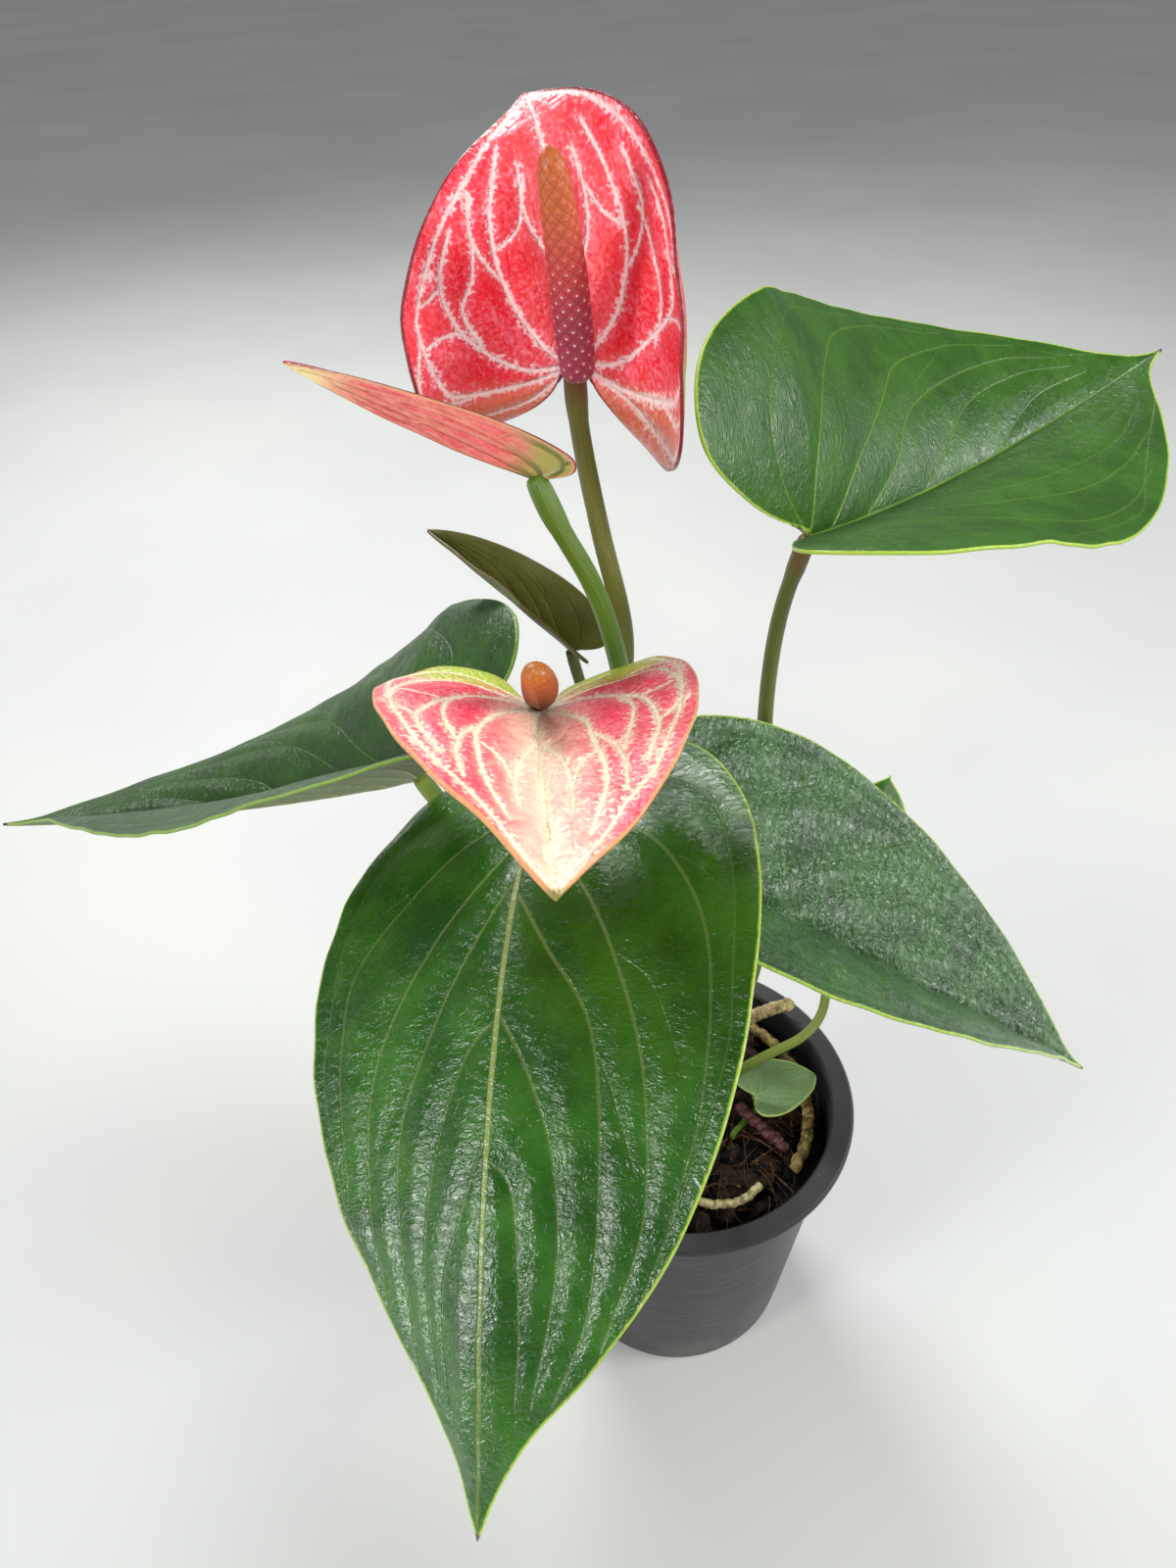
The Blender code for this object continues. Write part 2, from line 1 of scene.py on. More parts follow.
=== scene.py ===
# %% [markdown]
# # A potted anthurium, piece by piece
# This lesson dresses a plain solid model of a young flamingo flower. The solid model says
# where everything is. Each cell below rebuilds one part of the plant with its real surface:
# glossy veined leaves, waxy heart-shaped spathes, rough spadices, and a black nursery pot
# full of peat and bark.

# %% The frame
import math

import bmesh
import bpy
import numpy as np
from mathutils import Matrix, Vector, noise


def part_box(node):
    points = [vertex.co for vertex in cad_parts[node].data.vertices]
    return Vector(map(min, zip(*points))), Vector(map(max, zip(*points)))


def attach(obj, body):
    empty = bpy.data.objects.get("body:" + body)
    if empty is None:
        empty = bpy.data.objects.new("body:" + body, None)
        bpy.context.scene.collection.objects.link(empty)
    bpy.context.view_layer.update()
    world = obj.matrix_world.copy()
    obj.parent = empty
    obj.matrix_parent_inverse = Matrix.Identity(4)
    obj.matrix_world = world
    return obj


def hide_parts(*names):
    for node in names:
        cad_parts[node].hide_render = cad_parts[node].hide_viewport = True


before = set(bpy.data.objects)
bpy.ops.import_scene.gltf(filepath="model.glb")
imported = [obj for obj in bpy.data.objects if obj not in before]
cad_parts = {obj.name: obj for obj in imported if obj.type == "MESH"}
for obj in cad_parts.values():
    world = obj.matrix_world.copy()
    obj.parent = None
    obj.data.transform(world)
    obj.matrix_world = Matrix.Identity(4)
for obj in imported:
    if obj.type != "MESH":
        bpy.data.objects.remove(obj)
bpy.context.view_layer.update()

# %% [markdown]
# Everything that touches the potting mix is measured from two heights: the rim of the pot
# and the top of the mix. The solid model already holds both, so they are read, not typed.

# %% Heights and radii from the solid model
POT_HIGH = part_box("pot")[1]
RIM_HEIGHT = POT_HIGH.z
RIM_RADIUS = POT_HIGH.x
MIX_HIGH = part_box("potting_mix")[1]
SOIL_LEVEL = MIX_HIGH.z
MIX_RADIUS = MIX_HIGH.x
CROWN_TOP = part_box("crown")[1].z
CROWN_RADIUS = 0.0145                   # as in the solid model
BARE_MIX = MIX_RADIUS - CROWN_RADIUS    # the open ring of mix round the crown
print("rim", round(RIM_HEIGHT, 4), "soil", round(SOIL_LEVEL, 4), "mix radius", round(MIX_RADIUS, 4))


def on_mix(share, degrees):
    """A place on the potting mix: share is 0 beside the crown and 1 at the mix's edge."""
    radius = CROWN_RADIUS + share * BARE_MIX
    return radius * math.cos(math.radians(degrees)), radius * math.sin(math.radians(degrees))


# %% [markdown]
# The camera looks down at the plant from in front, as a person standing at a bench would.
# A camera's matrix holds its right, up and backward directions as columns. Writing those
# down from one pitch and one small roll angle is clearer than three Euler angles.

# %% Camera
# Metres, degrees, and the focal length as a share of the sensor's long side.
CAMERA_PLACE = Vector((-0.027, -0.217, 0.407))
PITCH_DOWN = math.radians(39.4)
ROLL = math.radians(-1.5)
FOCAL_SHARE = 0.71875
SENSOR = 36.0

forward = Vector((0.0, math.cos(PITCH_DOWN), -math.sin(PITCH_DOWN)))
level_right = Vector((1.0, 0.0, 0.0))
level_up = level_right.cross(forward)
right = level_right * math.cos(ROLL) + level_up * math.sin(ROLL)
up = level_up * math.cos(ROLL) - level_right * math.sin(ROLL)
lens = bpy.data.cameras.new("bench_camera")
lens.sensor_width = SENSOR
lens.lens = SENSOR * FOCAL_SHARE
lens.clip_start = 0.01
lens.clip_end = 60.0
camera = bpy.data.objects.new("bench_camera", lens)
camera.matrix_world = Matrix((
    (right.x, up.x, -forward.x, CAMERA_PLACE.x),
    (right.y, up.y, -forward.y, CAMERA_PLACE.y),
    (right.z, up.z, -forward.z, CAMERA_PLACE.z),
    (0.0, 0.0, 0.0, 1.0),
))
bpy.context.scene.collection.objects.link(camera)
bpy.context.scene.camera = camera
print("lens", round(lens.lens, 2), "mm")

# %% [markdown]
# ## Light
# Leaves this glossy are mostly seen by what they reflect. Three soft panels do that work: one
# high behind on the left puts a wet sheen on the front leaf, one low on the right catches the
# right-hand leaf, and one in front on the left lights the top flower's face. Two larger
# panels and a wide dim sun only fill the shadows. They are hidden from reflections, because
# a big pale shape mirrored in a leaf veils its green. The plain display curve keeps the reds
# as saturated as real spathes are.

# %% Lights and sky
bpy.context.scene.view_settings.view_transform = "Standard"
PLANT_MIDDLE = Vector((-0.01, 0.0, 0.22))


def soft_panel(name, heading, elevation, distance, width, height, watts):
    """A rectangle of light at a compass heading from +Y, aimed at the plant."""
    turn, rise = math.radians(heading), math.radians(elevation)
    way = Vector((math.sin(turn) * math.cos(rise), math.cos(turn) * math.cos(rise), math.sin(rise)))
    data = bpy.data.lights.new(name, "AREA")
    data.shape = "RECTANGLE"
    data.size, data.size_y = width, height
    data.energy = watts
    panel = bpy.data.objects.new(name, data)
    panel.location = PLANT_MIDDLE + way * distance
    panel.rotation_mode = "QUATERNION"
    panel.rotation_quaternion = (-way).to_track_quat("-Z", "Y")
    bpy.context.scene.collection.objects.link(panel)
    return panel


overhead = soft_panel("overhead_panel", -30, 80, 1.7, 1.6, 1.4, 4.0)
front = soft_panel("front_panel", 178, 24, 1.6, 1.0, 0.7, 11.0)
soft_panel("back_left_panel", -23, 41, 1.3, 0.55, 0.40, 16.0)
soft_panel("right_panel", 98, 24, 1.2, 0.50, 0.34, 12.0)
soft_panel("front_left_panel", -122, 16, 1.3, 0.30, 0.50, 9.0)
for fill in (overhead, front):
    fill.visible_glossy = False

ceiling = bpy.data.lights.new("wide_ceiling", "SUN")
ceiling.angle = math.radians(70)
ceiling.energy = 0.85
ceiling_light = bpy.data.objects.new("wide_ceiling", ceiling)
ceiling_light.rotation_euler = (math.radians(18), math.radians(12), 0.0)
ceiling_light.visible_glossy = False
bpy.context.scene.collection.objects.link(ceiling_light)

sky = bpy.data.worlds.new("pale_sky")
sky.use_nodes = True
sky.node_tree.nodes["Background"].inputs["Color"].default_value = (0.93, 0.97, 1.0, 1.0)
sky.node_tree.nodes["Background"].inputs["Strength"].default_value = 0.17
bpy.context.scene.world = sky

# %% [markdown]
# ## A small kit for finishes
# A finish is a graph of shader nodes. Writing every node and link by hand is long, so this
# class adds one node per call and hands back its output, ready for the next call.


# %% Finish kit
def tint(red, green, blue):
    """A colour as the eye reads it, 0 to 255, turned into the linear light a shader wants."""
    shares = (red / 255, green / 255, blue / 255)
    linear = [s / 12.92 if s <= 0.04045 else ((s + 0.055) / 1.055) ** 2.4 for s in shares]
    return (*linear, 1.0)


class Finish:
    """A material being built on one Principled shader."""

    def __init__(self, name, roughness=0.5, coat=0.0, specular=0.5, subsurface=0.0):
        self.material = bpy.data.materials.new(name)
        self.material.use_nodes = True
        self.tree = self.material.node_tree
        self.shader = self.tree.nodes["Principled BSDF"]
        self.shader.inputs["Roughness"].default_value = roughness
        self.shader.inputs["Coat Weight"].default_value = coat
        self.shader.inputs["Coat Roughness"].default_value = 0.08
        self.shader.inputs["Specular IOR Level"].default_value = specular
        self.shader.inputs["Subsurface Weight"].default_value = subsurface
        self.shader.inputs["Subsurface Radius"].default_value = (0.6, 0.9, 0.3)
        self.shader.inputs["Subsurface Scale"].default_value = 0.001

    def node(self, kind, output, settings, inputs):
        made = self.tree.nodes.new("ShaderNode" + kind)
        for key, value in settings.items():
            setattr(made, key, value)
        for key, value in inputs.items():
            if isinstance(value, bpy.types.NodeSocket):
                self.tree.links.new(value, made.inputs[key])
            else:
                made.inputs[key].default_value = value
        return made.outputs[output]

    def place(self, name=None):
        """Where on the piece: its own UV map of that name, or object coordinates."""
        if name is None:
            return self.node("TexCoord", "Object", {}, {})
        return self.node("UVMap", "UV", {"uv_map": name}, {})

    def part(self, vector, axis):
        return self.node("SeparateXYZ", axis, {}, {"Vector": vector})

    def math(self, operation, a, b=0.0, clamp=False):
        return self.node("Math", 0, {"operation": operation, "use_clamp": clamp}, {0: a, 1: b})

    def plus(self, a, b):
        return self.math("ADD", a, b)

    def minus(self, a, b):
        return self.math("SUBTRACT", a, b)

    def times(self, a, b):
        return self.math("MULTIPLY", a, b)

    def ragged(self, value, grain, amount, middle=0.5):
        """Value pushed up and down by a grain, which is measured from its middle."""
        return self.plus(value, self.times(self.minus(grain, middle), amount))

    def stretch(self, vector, x, y, z=1.0):
        return self.node("VectorMath", 0, {"operation": "MULTIPLY"}, {0: vector, 1: (x, y, z)})

    def grain(self, vector, scale, detail=3.0, roughness=0.55, warp=0.0):
        inputs = {
            "Vector": vector, "Scale": scale, "Detail": detail, "Roughness": roughness,
            "Distortion": warp,
        }
        return self.node("TexNoise", 0, {}, inputs)

    def cells(self, vector, scale, feature="F1"):
        return self.node("TexVoronoi", "Distance", {"feature": feature}, {"Vector": vector, "Scale": scale})

    def ramp(self, value, low, high, to_low=0.0, to_high=1.0):
        """Value between low and high, smoothly, as a number between to_low and to_high."""
        inputs = {"Value": value, 1: low, 2: high, 3: to_low, 4: to_high}
        return self.node("MapRange", 0, {"interpolation_type": "SMOOTHSTEP"}, inputs)

    def mix(self, share, a, b, strength=None):
        """Colour a where share is 0 and b where it is 1, or a weaker b with a strength."""
        if strength is not None:
            share = self.times(share, strength)
        return self.node("Mix", 2, {"data_type": "RGBA"}, {0: share, 6: a, 7: b})

    def bump(self, height, depth, onto=None):
        """Surface relief: depth is how many metres a height of 1 stands up."""
        inputs = {"Height": height, "Distance": depth}
        if onto is not None:
            inputs["Normal"] = onto
        return self.node("Bump", 0, {}, inputs)

    def done(self, colour, roughness=None, normal=None):
        self.tree.links.new(colour, self.shader.inputs["Base Color"])
        if roughness is not None:
            self.tree.links.new(roughness, self.shader.inputs["Roughness"])
        if normal is not None:
            self.tree.links.new(normal, self.shader.inputs["Normal"])
            self.tree.links.new(normal, self.shader.inputs["Coat Normal"])
        return self.material


# %% [markdown]
# ## Curves
# Veins, stems, roots and outlines are all smooth lines through a few points. A centripetal
# Catmull-Rom curve passes through every point without loops, which suits growing things.


# %% Smooth curve
def smooth_curve(points, count):
    """Catmull-Rom curve through the points, at even steps of its own length."""
    points = np.array(points, float)
    ends = (2 * points[0] - points[1], 2 * points[-1] - points[-2])
    padded = np.vstack([ends[0], points, ends[1]])
    steps = np.maximum(np.linalg.norm(np.diff(padded, axis=0), axis=1), 1e-9) ** 0.5
    knots = np.concatenate([[0.0], np.cumsum(steps)])
    found = []
    for t in np.linspace(knots[1], knots[-2], 30 * len(points)):
        i = int(np.clip(np.searchsorted(knots, t, side="right") - 1, 1, len(points) - 1))
        k = knots[i - 1:i + 3]
        p = padded[i - 1:i + 3]
        first = [
            ((k[j + 1] - t) * p[j] + (t - k[j]) * p[j + 1]) / (k[j + 1] - k[j]) for j in range(3)
        ]
        second = [
            ((k[j + 2] - t) * first[j] + (t - k[j]) * first[j + 1]) / (k[j + 2] - k[j])
            for j in range(2)
        ]
        found.append(((k[2] - t) * second[0] + (t - k[1]) * second[1]) / (k[2] - k[1]))
    found = np.array(found)
    run = np.concatenate([[0.0], np.cumsum(np.linalg.norm(np.diff(found, axis=0), axis=1))])
    even = np.linspace(0.0, run[-1], count)
    return np.stack([np.interp(even, run, found[:, axis]) for axis in range(points.shape[1])], -1)


print("a curve at 5 places:", smooth_curve(((0, 0), (1, 1), (2, 0)), 5).round(2).tolist())

# %% [markdown]
# ## How a blade grows
# Every leaf and spathe here is one heart-shaped sheet. It starts flat, as half an outline
# mirrored about the midrib. Then the midrib droops, sways and twists, and each half folds
# up from it and curls. Naming those few motions lets one formula grow all ten blades, and
# they are the same ones that the solid model was grown from.

# %% Outlines
# Half outlines from the joint round the basal lobe to the tip: (share of the half width,
# share of the length).
LEAF_HALF = (
    (0.03, 0.0), (0.14, -0.09), (0.38, -0.19), (0.70, -0.15), (0.93, 0.02), (1.0, 0.20),
    (0.92, 0.43), (0.71, 0.64), (0.42, 0.81), (0.17, 0.91), (0.05, 0.96), (0.0, 1.0),
)
TAPERED_HALF = (
    (0.03, 0.0), (0.14, -0.09), (0.38, -0.19), (0.70, -0.15), (0.93, 0.02), (1.0, 0.20),
    (0.93, 0.42), (0.72, 0.61), (0.40, 0.77), (0.18, 0.86), (0.07, 0.93), (0.0, 1.0),
)
DEEP_LOBED_HALF = (
    (0.03, 0.0), (0.14, -0.12), (0.40, -0.25), (0.74, -0.20), (0.96, 0.0), (1.0, 0.22),
    (0.90, 0.45), (0.68, 0.65), (0.40, 0.80), (0.15, 0.90), (0.05, 0.95), (0.0, 1.0),
)
SPATHE_HALF = (
    (0.05, 0.0), (0.14, -0.12), (0.38, -0.25), (0.70, -0.22), (0.94, -0.04), (1.0, 0.18),
    (0.88, 0.43), (0.63, 0.66), (0.34, 0.84), (0.11, 0.95), (0.0, 1.0),
)
SHORT_LOBED_HALF = (
    (0.05, 0.0), (0.20, -0.06), (0.50, -0.12), (0.80, -0.08), (0.98, 0.08), (1.0, 0.25),
    (0.85, 0.50), (0.60, 0.72), (0.32, 0.88), (0.10, 0.97), (0.0, 1.0),
)

# %% [markdown]
# Ten blades share those outlines. Angles are degrees and lengths are metres.

# %% Blades
# A blade's base is (x, y, height above the potting mix). Its heading is the compass angle
# of the midrib, clockwise from +Y seen from above. fold lifts each half out of the flat,
# and fade is how much of that fold is gone at the tip.
BLADES = {
    "leaf_front": dict(
        base=(-0.0395, -0.0181, 0.1462), heading=189, pitch=5, roll=-5, length=0.154,
        width=0.106, droop=68, sway=-17, twist=-11, fold=(8, -34), curl=(16, 3),
        fade=(0, 0), half=TAPERED_HALF,
    ),
    "leaf_right": dict(
        base=(0.0007, -0.0007, 0.1076), heading=94, pitch=-33, roll=7, length=0.138,
        width=0.103, droop=-4, sway=4, twist=14, fold=(29, 34), curl=(1, -8),
        fade=(0, 0), half=LEAF_HALF,
    ),
    "leaf_upper_right": dict(
        base=(0.0312, 0.0463, 0.1806), heading=43.5, pitch=-12, roll=25, length=0.169,
        width=0.131, droop=-35, sway=2, twist=3, fold=(57, 57), curl=(-40, -32),
        fade=(0.9, 0.5), half=DEEP_LOBED_HALF,
    ),
    "leaf_left": dict(
        base=(-0.0717, 0.0164, 0.1285), heading=304, pitch=-32, roll=-26, length=0.163,
        width=0.113, droop=-37, sway=-20, twist=-18, fold=(67, 44), curl=(-33, -64),
        fade=(0.4, 1.1), half=DEEP_LOBED_HALF,
    ),
    "leaf_young": dict(
        base=(-0.0305, 0.0374, 0.1541), heading=299, pitch=31, roll=-6, length=0.050,
        width=0.027, droop=0, sway=0, twist=0, fold=(52, 48), curl=(0, 0),
        fade=(0, 0), half=SHORT_LOBED_HALF,
    ),
    "leaf_back": dict(
        base=(0.0440, 0.0180, 0.0660), heading=28, pitch=20, roll=0, length=0.067,
        width=0.034, droop=22, sway=0, twist=0, fold=(14, 14), curl=(0, 0),
        fade=(0, 0), half=LEAF_HALF,
    ),
    "leaf_small": dict(
        base=(*on_mix(0.288, -4.8), 0.0090), heading=66, pitch=4, roll=-6,
        length=0.722 * BARE_MIX, width=0.722 * BARE_MIX, droop=20, sway=0, twist=0,
        fold=(10, 10), curl=(0, 0), fade=(0, 0), half=SHORT_LOBED_HALF,
    ),
    "spathe_top": dict(
        base=(-0.0276, 0.0403, 0.2285), heading=-7, pitch=82, roll=0, length=0.058,
        width=0.082, droop=75, sway=-15, twist=0, fold=(-13, 0), curl=(62, 115),
        fade=(0, 0), half=SPATHE_HALF, droop_from=4, lobe_bend=-50,
    ),
    "spathe_left": dict(
        base=(-0.0361, 0.0113, 0.2144), heading=282, pitch=16, roll=23, length=0.059,
        width=0.0185, droop=-12, sway=0, twist=0, fold=(49, 49), curl=(45, 40),
        fade=(0, 0), half=SHORT_LOBED_HALF,
    ),
    "spathe_front": dict(
        base=(-0.0370, -0.0217, 0.1766), heading=179.5, pitch=23.5, roll=-3, length=0.080,
        width=0.067, droop=16, sway=-7, twist=10, fold=(18, 21), curl=(7, -21),
        fade=(0, 0), half=SPATHE_HALF,
    ),
}
print(len(BLADES), "blades")

# %% [markdown]
# The flat sheet is a grid whose rows run the way the side veins do: out of the joint like
# a fan, then off the midrib towards the margin. Bending works on distances along and across
# the midrib, so it never stretches the blade.


# %% Growing formula
LOBE_REACH = 0.25   # how far back, in blade lengths, the lobe bend is measured
VEIN_START = 0.42   # the share of the outline that fans out of the joint


def above_soil(point):
    return np.array((point[0], point[1], SOIL_LEVEL + point[2]))


def turned(axis, degrees):
    c, s = math.cos(math.radians(degrees)), math.sin(math.radians(degrees))
    turns = {
        "x": ((1, 0, 0), (0, c, -s), (0, s, c)),
        "y": ((c, 0, s), (0, 1, 0), (-s, 0, c)),
        "z": ((c, -s, 0), (s, c, 0), (0, 0, 1)),
    }
    return np.array(turns[axis])


def blade_turn(blade):
    """Takes the flat blade (midrib along +Y, upper side +Z) to where it grows."""
    return turned("z", -blade["heading"]) @ turned("x", blade["pitch"]) @ turned("y", blade["roll"])


def heading_vectors(yaw, pitch):
    return np.stack([np.sin(yaw) * np.cos(pitch), np.cos(yaw) * np.cos(pitch), np.sin(pitch)], -1)


def midrib_frames(blade, along):
    """The bent midrib at each distance along it: centre, right, forward and up vectors."""
    length = blade["length"]
    table = np.linspace(-0.35 * length, length, 136)
    grown = np.clip(table / length, 0.0, None)
    pitch = -np.radians(blade["droop"]) * grown ** blade.get("droop_from", 1.0)
    behind = np.clip(-table / length, 0.0, None)
    pitch -= np.radians(blade.get("lobe_bend", 0.0)) * behind / LOBE_REACH
    yaw = np.radians(blade["sway"]) * grown
    forward = heading_vectors(yaw, pitch)
    steps = (forward[1:] + forward[:-1]) / 2 * np.diff(table)[:, None]
    centre = np.concatenate([np.zeros((1, 3)), np.cumsum(steps, 0)])
    start = [np.interp(0.0, table, centre[:, k]) for k in range(3)]
    place = np.stack([np.interp(along, table, centre[:, k]) - start[k] for k in range(3)], -1)
    pitch = np.interp(along, table, pitch)
    yaw = np.interp(along, table, yaw)
    twist = np.radians(blade["twist"]) * np.clip(along / length, 0.0, None)
    forward = heading_vectors(yaw, pitch)
    level = np.stack([np.cos(yaw), -np.sin(yaw), 0.0 * yaw], -1)
    upright = np.cross(level, forward)
    c, s = np.cos(twist)[:, None], np.sin(twist)[:, None]
    return place, level * c + upright * s, forward, upright * c - level * s


def bent(blade, across, along):
    """World places of flat blade points (across the midrib, along it)."""
    place, right, _, up = midrib_frames(blade, along)
    half_width = blade["width"] / 2
    grown = np.clip(along / blade["length"], 0.0, 1.0)
    side = (across > 0).astype(int)
    fold = np.radians(np.array(blade["fold"]))[side] * (1 - np.array(blade["fade"])[side] * grown)
    curl = np.radians(np.array(blade["curl"]))[side] / half_width
    curl = np.where(np.abs(curl) < 1e-6, 1e-6, curl)
    reach = np.abs(across)
    out = (np.sin(fold + curl * reach) - np.sin(fold)) / curl * np.sign(across)
    lift = (np.cos(fold) - np.cos(fold + curl * reach)) / curl
    local = place + right * out[:, None] + up * lift[:, None]
    return above_soil(blade["base"]) + local @ blade_turn(blade).T


def flat_blade(blade, row, column):
    """Flat place of a grid point: row 0..1 from joint to tip, column -1..1 across."""
    outline = smooth_curve(blade["half"], 97)
    steps = np.linspace(0.0, 1.0, len(outline))
    edge_out = np.interp(row, steps, outline[:, 0])
    edge_along = np.interp(row, steps, outline[:, 1])
    rib_along = np.clip((row - VEIN_START) / (1 - VEIN_START), 0.0, 1.0) ** 1.15
    reach = np.abs(column)
    out = edge_out * (1 - (1 - reach) ** 1.3) * np.sign(column) * blade["width"] / 2
    along = rib_along + (edge_along - rib_along) * reach ** 1.3
    return out, along * blade["length"]


print("a leaf's lobe reaches", flat_blade(BLADES["leaf_front"], np.array([0.2]), np.array([1.0])))

# %% [markdown]
# ## Veins
# A flamingo flower's main veins leave the joint or the midrib, arch out, then run forward
# along the margin until they meet the next one. They are drawn here once, on the flat half
# blade, as (share of the half width, share of the length), with a half width in millimetres
# at each end. The other half gets the same veins with small seeded shifts, as nature does.

# %% Vein paths
LEAF_VEINS = (
    (0.26, 0.12, ((0.0, 0.0), (0.25, -0.07), (0.55, -0.08), (0.80, 0.0), (0.90, 0.13), (0.90, 0.26))),
    (0.34, 0.14, ((0.0, 0.0), (0.30, 0.02), (0.60, 0.11), (0.79, 0.28), (0.79, 0.44), (0.66, 0.61))),
    (0.32, 0.14, ((0.0, 0.06), (0.22, 0.15), (0.45, 0.28), (0.58, 0.44), (0.57, 0.59), (0.43, 0.74))),
    (0.28, 0.12, ((0.0, 0.17), (0.18, 0.26), (0.36, 0.39), (0.43, 0.53), (0.39, 0.68), (0.26, 0.81))),
    (0.22, 0.10, ((0.0, 0.34), (0.13, 0.43), (0.25, 0.55), (0.27, 0.68), (0.18, 0.82))),
    (0.18, 0.08, ((0.0, 0.52), (0.09, 0.60), (0.15, 0.72), (0.12, 0.84))),
    (0.14, 0.10, ((0.90, 0.26), (0.86, 0.42), (0.71, 0.58), (0.50, 0.72), (0.28, 0.84), (0.10, 0.93))),
    (0.13, 0.07, ((0.45, 0.28), (0.58, 0.33), (0.70, 0.42))),
    (0.13, 0.07, ((0.36, 0.39), (0.45, 0.45), (0.54, 0.54))),
    (0.13, 0.07, ((0.60, 0.11), (0.74, 0.13), (0.86, 0.20))),
)
SPATHE_VEINS = (
    (0.62, 0.42, ((0.0, 0.0), (0.12, 0.06), (0.27, 0.20), (0.35, 0.38), (0.34, 0.58), (0.22, 0.80))),
    (0.62, 0.40, ((0.0, 0.0), (0.26, 0.01), (0.48, 0.08), (0.65, 0.21), (0.70, 0.38), (0.58, 0.56))),
    (0.60, 0.40, ((0.0, 0.0), (0.28, -0.06), (0.55, -0.08), (0.76, -0.03), (0.88, 0.10), (0.89, 0.24))),
    (0.45, 0.30, ((0.0, 0.0), (0.28, -0.13), (0.58, -0.17), (0.80, -0.14), (0.93, 0.0), (0.89, 0.24))),
    (0.42, 0.30, ((0.89, 0.24), (0.80, 0.40), (0.62, 0.58), (0.42, 0.73), (0.22, 0.87), (0.06, 0.95))),
    (0.36, 0.24, ((0.33, 0.32), (0.41, 0.40), (0.47, 0.52), (0.44, 0.66))),
    (0.34, 0.20, ((0.50, 0.09), (0.57, 0.24), (0.53, 0.38), (0.47, 0.50))),
    (0.30, 0.22, ((0.70, 0.36), (0.78, 0.33), (0.86, 0.30))),
    (0.30, 0.20, ((0.62, 0.17), (0.74, 0.16), (0.88, 0.13))),
    (0.32, 0.20, ((0.0, 0.30), (0.09, 0.40), (0.16, 0.55), (0.15, 0.72))),
    (0.26, 0.18, ((0.35, 0.45), (0.24, 0.50), (0.17, 0.60))),
    (0.26, 0.16, ((0.60, -0.08), (0.74, -0.09), (0.86, -0.06))),
)
MIDRIB = ((0.0, 0.0), (0.0, 0.35), (0.0, 0.7), (0.0, 0.985))


def vein_lines(blade, paths, midrib, seed):
    """Every vein of a blade as (flat points in metres, half width at start, at end)."""
    shifts = np.random.default_rng(seed)
    half_width, length = blade["width"] / 2, blade["length"]
    lines = [(smooth_curve(MIDRIB, 40) * (half_width, length), *midrib)]
    for side in (-1, 1):
        for start, end, path in paths:
            path = np.array(path)
            start_moves = path[0, 0] == 0.0 and path[0, 1] > 0.05
            push = shifts.normal(0.0, 0.012, path.shape)
            push[0] = (0.0, shifts.uniform(-0.03, 0.03)) if start_moves else (0.0, 0.0)
            push[-1] *= 0.4
            flat = smooth_curve(path + push, 36) * (side * half_width, length)
            lines.append((flat, start, end))
    return lines


print(2 * len(LEAF_VEINS) + 1, "veins on a leaf,", 2 * len(SPATHE_VEINS) + 1, "on a spathe")

# %% [markdown]
# A vein half a millimetre wide is finer than any sensible grid. So each face corner stores
# its signed distance to the vein nearest to that face. Inside a face that number changes
# evenly, and the finish can draw a crisp line wherever it passes through zero.


# %% Distance to the veins
FAR_FROM_VEIN = 2.5   # mm, past which the side of the vein no longer matters


def line_distances(points, line):
    """Unsigned distance, side and share of the way along, from each point to a line."""
    start, step = line[:-1], np.diff(line, axis=0)
    offset = points[:, None] - start
    share = np.clip((offset * step).sum(-1) / (step ** 2).sum(-1), 0.0, 1.0)
    away = offset - share[..., None] * step
    distance = np.linalg.norm(away, axis=-1)
    nearest = distance.argmin(1)
    rows = np.arange(len(points))
    away = away[rows, nearest]
    side = np.sign(step[nearest, 0] * away[:, 1] - step[nearest, 1] * away[:, 0])
    return distance[rows, nearest], side, (nearest + share[rows, nearest]) / len(step)


def margin_distance(blade, flat):
    """Distance of each flat point from the blade's edge."""
    outline = smooth_curve(blade["half"], 160) * (blade["width"] / 2, blade["length"])
    folded = np.abs(flat) * (1, 0) + flat * (0, 1)
    return line_distances(folded, outline)[0]


def corner_veins(mesh, flat, lines):
    """For each face corner: signed distance to the face's vein and its half width, in mm."""
    found = [line_distances(flat, line) for line, _, _ in lines]
    distance = np.stack([d for d, _, _ in found], 1) * 1000
    side = np.stack([s for _, s, _ in found], 1)
    half = np.stack([a + (b - a) * f[2] for f, (_, a, b) in zip(found, lines)], 1)
    corner = np.empty(len(mesh.loops), np.int64)
    mesh.loops.foreach_get("vertex_index", corner)
    first = np.empty(len(mesh.polygons), np.int64)
    mesh.polygons.foreach_get("loop_start", first)
    count = np.diff(np.append(first, len(corner)))
    clear = np.add.reduceat((distance - half)[corner], first) / count[:, None]
    vein = np.repeat(clear.argmin(1), count)
    far = np.minimum.reduceat(distance[corner, vein], first) > FAR_FROM_VEIN
    sign = np.where(np.repeat(far, count), 1.0, side[corner, vein])
    nearest = (distance - half).argmin(1)
    rows = np.arange(len(flat))
    return (
        np.stack([distance[corner, vein] * sign, half[corner, vein]], 1),
        distance[rows, nearest], half[rows, nearest],
    )

# %% [markdown]
# ## Building a blade
# The grid is laid on the outline, bent, and then pushed along its own normals: veins sink
# into the upper face and the flesh between them rises, which breaks reflections up the way
# a real leaf does. A Solidify modifier gives the sheet its thickness, and gives the
# underside its own material.


